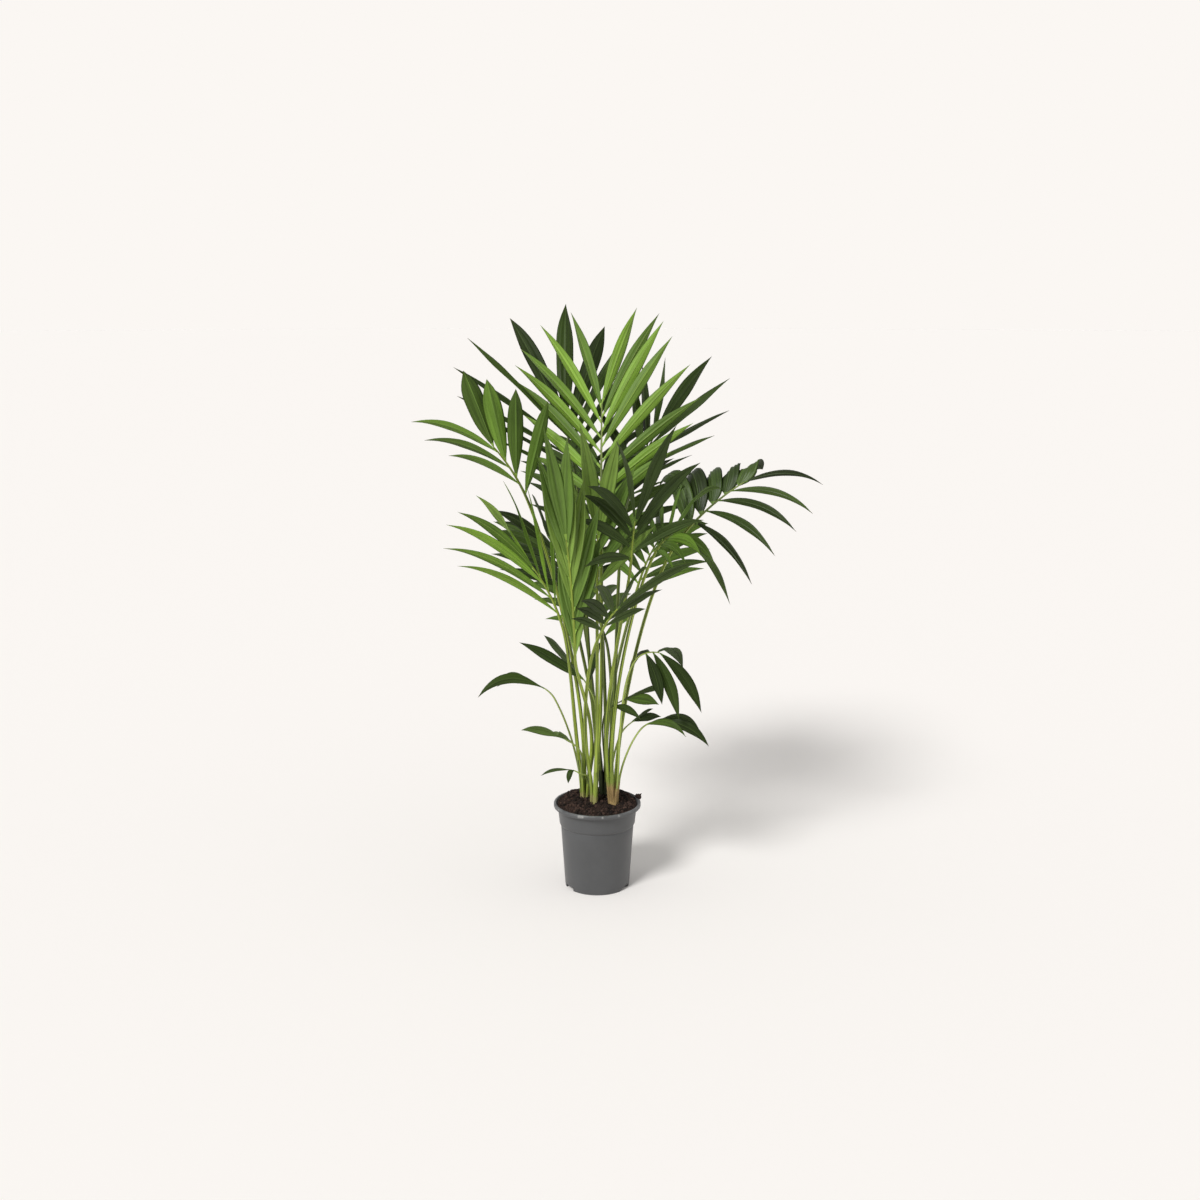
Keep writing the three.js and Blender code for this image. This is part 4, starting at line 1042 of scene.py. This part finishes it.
def lipScuffs(tree, place):  # each scuff is a turn round the lip and a size, and fades from its middle
    worn = 0.0
    for turn, size in potLook["scuffs"]:
        way = level(turn - 90) * pot["lipRadius"]
        spot = Vector((way.x, way.y, pot["height"] - potLook["scuffDrop"])) * mm
        gap = put(tree, "ShaderNodeVectorMath", [place, spot], operation="DISTANCE").outputs["Value"]
        worn = plus(tree, worn, ramp(tree, gap, 0.0, size * mm, potLook["scuffDepth"], 0.0))
    scratches = clouds(tree, scaled(tree, place, potLook["scratchStretch"]), potLook["scratches"])
    return ramp(tree, times(tree, worn, scratches), *potLook["scuffRange"], 0.0, potLook["scuffDepth"])


def makePotMaterial():
    material, tree, shader = newMaterial("potPlastic", potLook["roughness"], potLook["specular"])
    place = objectPlace(tree)
    tone = useGroup(tree, mottle, potLook["mottle"])["Value"]
    body = mixColour(tree, times(tree, tone, potLook["paleShare"]), colour(potLook["body"]),
                     colour(potLook["pale"]))
    dust = useGroup(tree, specks, potLook["specks"])["Mask"]
    body = mixColour(tree, times(tree, dust, potLook["dustShare"]), body, colour(potLook["dust"]))
    # a paler, patchy band round the top of the lip: painted highlight, broken up like wear
    edge = ramp(tree, partsOf(tree, place)["Z"], (pot["height"] - potLook["edgeFrom"]) * mm,
                (pot["height"] - potLook["edgeTo"]) * mm, 0.0, potLook["edgeShare"])
    patchy = ramp(tree, clouds(tree, place, potLook["edgeClouds"]), *potLook["edgeRange"])
    body = mixColour(tree, times(tree, edge, patchy), body, colour(potLook["lip"]))
    body = mixColour(tree, lipScuffs(tree, place), body, colour(potLook["scuff"]))
    paint(tree, shader, body, tone, potLook["roughness"], potLook["roughnessSpread"])
    grain = clouds(tree, place, potLook["grain"])
    addBump(tree, shader, grain, potLook["grainStrength"], potLook["grainDepth"])
    return material


claim(makePot(), "pot_plastic", "pot")
print("pot made")

# Soil, heaped a little at the middle, with lumps and loose crumbs
soil = {"edgeRadius": 86.2, "edgeHeight": 182.5, "crownHeight": 192, "rings": 44, "sides": 132, "lump": 2.2,
        "clod": 4.2, "clodSize": 10, "clodNoise": (0.9, 2.1, 3), "grit": 1.6, "gritSize": 2.6, "skirt": 174,
        "skirtShare": 0.95, "backRise": 10, "edgeClods": 0.9, "edgeBand": 8, "lumpWaves": (3, 5, 7)}
soilLook = {"dark": "170e0c", "light": "3d2e27", "fleck": "6e5a44", "roughness": 0.92, "specular": 0.25,
            "lumps": (260.0, 6.0, 0.7), "lumpRange": (0.35, 0.65), "specks": (650.0, 0.35),
            "lumpStrength": 0.9, "lumpDepth": 0.0016}


def soilTop(share, turn):  # the surface at a share of the way out, higher towards the back
    heap = soil["edgeHeight"] + (soil["crownHeight"] - soil["edgeHeight"]) * (1 - share ** 2)
    first, second, outward = soil["lumpWaves"]
    lumps = soil["lump"] * share * math.sin(first * turn + 1) * math.cos(second * turn + outward * share)
    radius = soil["edgeRadius"] * share
    x, y = radius * math.cos(turn), radius * math.sin(turn)
    clods = soil["clod"] * noise.fractal(Vector((x, y, 3)) / soil["clodSize"], *soil["clodNoise"])
    grit = soil["grit"] * abs(noise.noise(Vector((x, y, 9)) / soil["gritSize"]))
    atBack = max(math.sin(turn), 0)
    edge = 1 - (1 - soil["edgeClods"] * atBack) * share ** soil["edgeBand"]
    return Vector((x, y, heap + (lumps + clods) * edge + grit + soil["backRise"] * share ** 2 * atBack))


def makeSoil():
    shape = bmesh.new()
    turns = [2 * math.pi * j / soil["sides"] for j in range(soil["sides"])]
    shares = [(soil["rings"] - i) / soil["rings"] for i in range(soil["rings"])]
    rings = [[soilTop(share, turn) for turn in turns] for share in shares]
    skirt = soil["skirtShare"]
    floorRing = [Vector((point.x * skirt, point.y * skirt, soil["skirt"])) for point in rings[0]]
    loops = [[shape.verts.new(point * mm) for point in ring] for ring in [floorRing] + rings]
    for low, high in zip(loops, loops[1:]):
        for j in range(soil["sides"]):
            k = (j + 1) % soil["sides"]
            shape.faces.new((low[j], low[k], high[k], high[j]))
    crown = shape.verts.new(soilTop(0, 0) * mm)
    under = shape.verts.new((0, 0, soil["skirt"] * mm))
    for j in range(soil["sides"]):
        k = (j + 1) % soil["sides"]
        shape.faces.new((loops[-1][j], loops[-1][k], crown))
        shape.faces.new((loops[0][k], loops[0][j], under))
    bmesh.ops.recalc_face_normals(shape, faces=shape.faces)
    return meshPiece("soilHeap", shape, [makeSoilMaterial("soilBed", 1.0)])


def makeSoilMaterial(name, gain):  # moist soil, made lighter or darker by the gain
    material, tree, shader = newMaterial(name, soilLook["roughness"], soilLook["specular"])
    lumps = clouds(tree, objectPlace(tree), soilLook["lumps"])
    body = mixColour(tree, ramp(tree, lumps, *soilLook["lumpRange"]), colour(soilLook["dark"], gain),
                     colour(soilLook["light"], gain))
    fleck = useGroup(tree, specks, soilLook["specks"])["Mask"]
    paint(tree, shader, mixColour(tree, fleck, body, colour(soilLook["fleck"])))
    addBump(tree, shader, lumps, soilLook["lumpStrength"], soilLook["lumpDepth"])
    return material


crumbShape = {"divisions": 2, "bulge": 0.35, "bulgeSize": 1.3}


def makeCrumb(name, stretch):  # one crumb, a rough pebble of a few dozen faces
    shape = bmesh.new()
    bmesh.ops.create_icosphere(shape, subdivisions=crumbShape["divisions"], radius=1)
    for vert in shape.verts:
        place = vert.co * crumbShape["bulgeSize"] + Vector((5, 2, stretch))
        vert.co = Vector((vert.co.x * stretch, *vert.co.yz)) * (1 + crumbShape["bulge"] * noise.noise(place))
    mesh = bpy.data.meshes.new(name)
    shape.to_mesh(mesh)
    shape.free()
    return bpy.data.objects.new(name, mesh)


def makeScatterTree():  # crumbs strewn over the upward faces of a mesh
    inputs = [("Crumb", "Object", None), ("Density", "Float", 1000.0), ("Smallest", "Float", 0.001),
              ("Largest", "Float", 0.003), ("Reach", "Float", 0.086), ("Upward", "Float", 0.3),
              ("Turn", "Vector", (6.28, 6.28, 6.28)), ("Seed", "Int", 1), ("Material", "Material", None)]
    tree, given, out = makeTree("scatter", inputs)
    normal = put(tree, "GeometryNodeInputNormal").outputs[0]
    isTop = calc(tree, "GREATER_THAN", partsOf(tree, normal)["Z"], given["Upward"])
    place = scaled(tree, put(tree, "GeometryNodeInputPosition").outputs[0], (1, 1, 0))
    fromAxis = put(tree, "ShaderNodeVectorMath", [place], operation="LENGTH").outputs["Value"]
    chosen = times(tree, isTop, calc(tree, "LESS_THAN", fromAxis, given["Reach"]))
    points = put(tree, "GeometryNodeDistributePointsOnFaces", distribute_method="RANDOM")
    turn = put(tree, "FunctionNodeRandomValue", [(0, 0, 0), given["Turn"]], data_type="FLOAT_VECTOR")
    size = put(tree, "FunctionNodeRandomValue", data_type="FLOAT")
    feed(tree, points.inputs["Mesh"], given["Geometry"])
    feed(tree, points.inputs["Selection"], chosen)
    feed(tree, points.inputs["Density"], given["Density"])
    for node in (points, turn, size):
        feed(tree, node.inputs["Seed"], given["Seed"])
    for label, value in (("Min_001", given["Smallest"]), ("Max_001", given["Largest"])):  # those for numbers
        feed(tree, next(socket for socket in size.inputs if socket.identifier == label), value)
    crumb = put(tree, "GeometryNodeObjectInfo", [given["Crumb"]]).outputs["Geometry"]
    spread = put(tree, "GeometryNodeInstanceOnPoints", [points.outputs["Points"], None, crumb, None, None,
                                                       turn.outputs[0], size.outputs[1]]).outputs[0]
    finishTree(tree, coloured(tree, realized(tree, spread), given["Material"]), out)
    return tree


crumbs = {
    "soilCrumbs": {"stretch": 1.0, "gain": 1.0, "inputs": {"Density": 42000.0, "Smallest": 0.0008,
                   "Largest": 0.0026, "Reach": 0.086, "Seed": 4}},
    "soilChips": {"stretch": 2.4, "gain": 2.1, "inputs": {"Density": 5200.0, "Smallest": 0.0006,
                  "Largest": 0.0016, "Reach": 0.085, "Seed": 9}},
    "soilClods": {"stretch": 1.2, "gain": 0.35, "inputs": {"Density": 9000.0, "Smallest": 0.002,
                  "Largest": 0.0048, "Reach": 0.0805, "Seed": 12}},
    "soilLumps": {"stretch": 1.3, "gain": 1.9, "inputs": {"Density": 9000.0, "Smallest": 0.0016,
                  "Largest": 0.004, "Reach": 0.0815, "Seed": 21}},
}
soilPiece = makeSoil()
claim(soilPiece, "potting_soil", "soil")
scatterTree = makeScatterTree()
for name, kind in crumbs.items():
    things = {"Crumb": makeCrumb(name + "Shape", kind["stretch"]),
              "Material": makeSoilMaterial(name, kind["gain"])}
    claim(grow(name, soilPiece.data.copy(), scatterTree, {**kind["inputs"], **things}), "potting_soil")

clump = {"place": (91, 22, 193), "size": 5.4, "divisions": 4, "bulge": 0.7, "bulgeSize": 1.6,
         "noise": (0.8, 2.1, 4), "stretch": (1.2, 1, 0.9)}


def makeClump():  # a clump of soil that has rolled onto the lip
    shape = bmesh.new()
    bmesh.ops.create_icosphere(shape, subdivisions=clump["divisions"], radius=1)
    for vert in shape.verts:
        bulge = 1 + clump["bulge"] * noise.fractal(vert.co * clump["bulgeSize"], *clump["noise"])
        reach = Vector(clump["stretch"]) * vert.co * (clump["size"] * bulge)
        vert.co = (Vector(clump["place"]) + reach) * mm
    return meshPiece("soilClump", shape, [makeSoilMaterial("soilClump", 1.0)])


claim(makeClump(), "potting_soil")
print("soil made")

# Dry husk fibres round the foot of the right stem
husk = {"stem": "right", "count": 150, "low": 184, "high": 232, "radius": 10.6, "steps": 7, "thick": 0.34,
        "short": 10, "long": 34, "startBelow": 24, "goldenTurn": 2.399963, "startStride": 0.618,
        "lengthStride": 0.414, "lean": 0.5, "leanStride": 7.3, "waver": 0.1, "slimming": 0.16, "stray": 5,
        "strayStride": 3.1, "flare": 3.5, "flareFall": 3, "tipThinner": 0.8, "sides": 5}


def huskFibre(i):  # one thin fibre that climbs and leans, close against the stem
    x, y = stemFeet[husk["stem"]]
    start = mix(husk["low"], husk["high"] - husk["startBelow"], (i * husk["startStride"]) % 1)
    length = mix(husk["short"], husk["long"], (i * husk["lengthStride"]) % 1)
    lean = husk["lean"] * math.sin(husk["leanStride"] * i)
    stray = husk["stray"] * math.sin(husk["strayStride"] * i) ** 2
    path = []
    for step in range(husk["steps"] + 1):
        share = step / husk["steps"]
        height = start + length * share
        rise = (height - husk["low"]) / (husk["high"] - husk["low"])
        flare = husk["flare"] * max(1 - husk["flareFall"] * rise, 0) ** 2
        near = husk["radius"] * (1.02 - husk["slimming"] * rise) + flare + stray * share ** 3
        angle = husk["goldenTurn"] * i + lean * share + husk["waver"] * math.sin(9 * share + i)
        facing = Vector((math.cos(angle), math.sin(angle), 0))
        path.append({"point": Vector((x, y, height)) + facing * near, "facing": facing,
                     "halfWidth": husk["thick"] * (1.1 - husk["tipThinner"] * share) * mm,
                     "distance": length * share * mm})
    return path


def makeHusk():
    paths = [huskFibre(i) for i in range(husk["count"])]
    values = {"Sides": husk["sides"], "Flat": 0.0, "Material": limbMaterials["huskFibre"]}
    claim(grow("huskFibres", pathMesh("huskFibres", paths), limbTree, values), "stem_husk")


makeHusk()
print("husk made")

# Pale floor, even sky and soft light
studio = {"paper": "fbf7f3", "ambient": 0.5, "sides": 0.35, "sidesFrom": 0.7, "sun": 2.14, "sunAngle": 18,
          "sunTurn": (46, 0, -34), "floorRadius": 60, "floorSides": 96, "grain": (3.0, 2.0, 0.5),
          "grainShade": 0.005}


def makeStudio():  # an even sky, a little brighter to the left and right, and one soft sun
    world = bpy.data.worlds.new("studio")
    scene.world = world
    world.use_nodes = True
    tree = world.node_tree
    tree.nodes.clear()
    seen = put(tree, "ShaderNodeBackground", [colour(studio["paper"]), 1.0]).outputs[0]
    way = partsOf(tree, put(tree, "ShaderNodeTexCoord").outputs["Generated"])
    glow = ramp(tree, calc(tree, "ABSOLUTE", way["X"]), studio["sidesFrom"], 1.0, studio["ambient"],
                studio["ambient"] + studio["sides"])
    lit = put(tree, "ShaderNodeBackground", [(1, 1, 1, 1), glow]).outputs[0]
    isSeen = put(tree, "ShaderNodeLightPath").outputs["Is Camera Ray"]
    both = put(tree, "ShaderNodeMixShader", [isSeen, lit, seen]).outputs[0]
    put(tree, "ShaderNodeOutputWorld", [both])
    sun = bpy.data.lights.new("softSun", "SUN")
    sun.energy = studio["sun"]
    sun.angle = math.radians(studio["sunAngle"])
    sunObject = bpy.data.objects.new("softSun", sun)
    sunObject.rotation_euler = [math.radians(a) for a in studio["sunTurn"]]
    scene.collection.objects.link(sunObject)


def makeFloor():
    shape = bmesh.new()
    bmesh.ops.create_circle(shape, cap_ends=True, segments=studio["floorSides"], radius=studio["floorRadius"])
    material, tree, shader = newMaterial("floorPaper", 1.0, 0.0)
    grain = clouds(tree, None, studio["grain"])
    paint(tree, shader, mixColour(tree, grain, colour(studio["paper"], 1 - studio["grainShade"]),
                                  colour(studio["paper"], 1 + studio["grainShade"])))
    floor = meshPiece("floor", shape, [material])


makeStudio()
makeFloor()
scene.view_settings.view_transform = "Standard"
print("studio made")
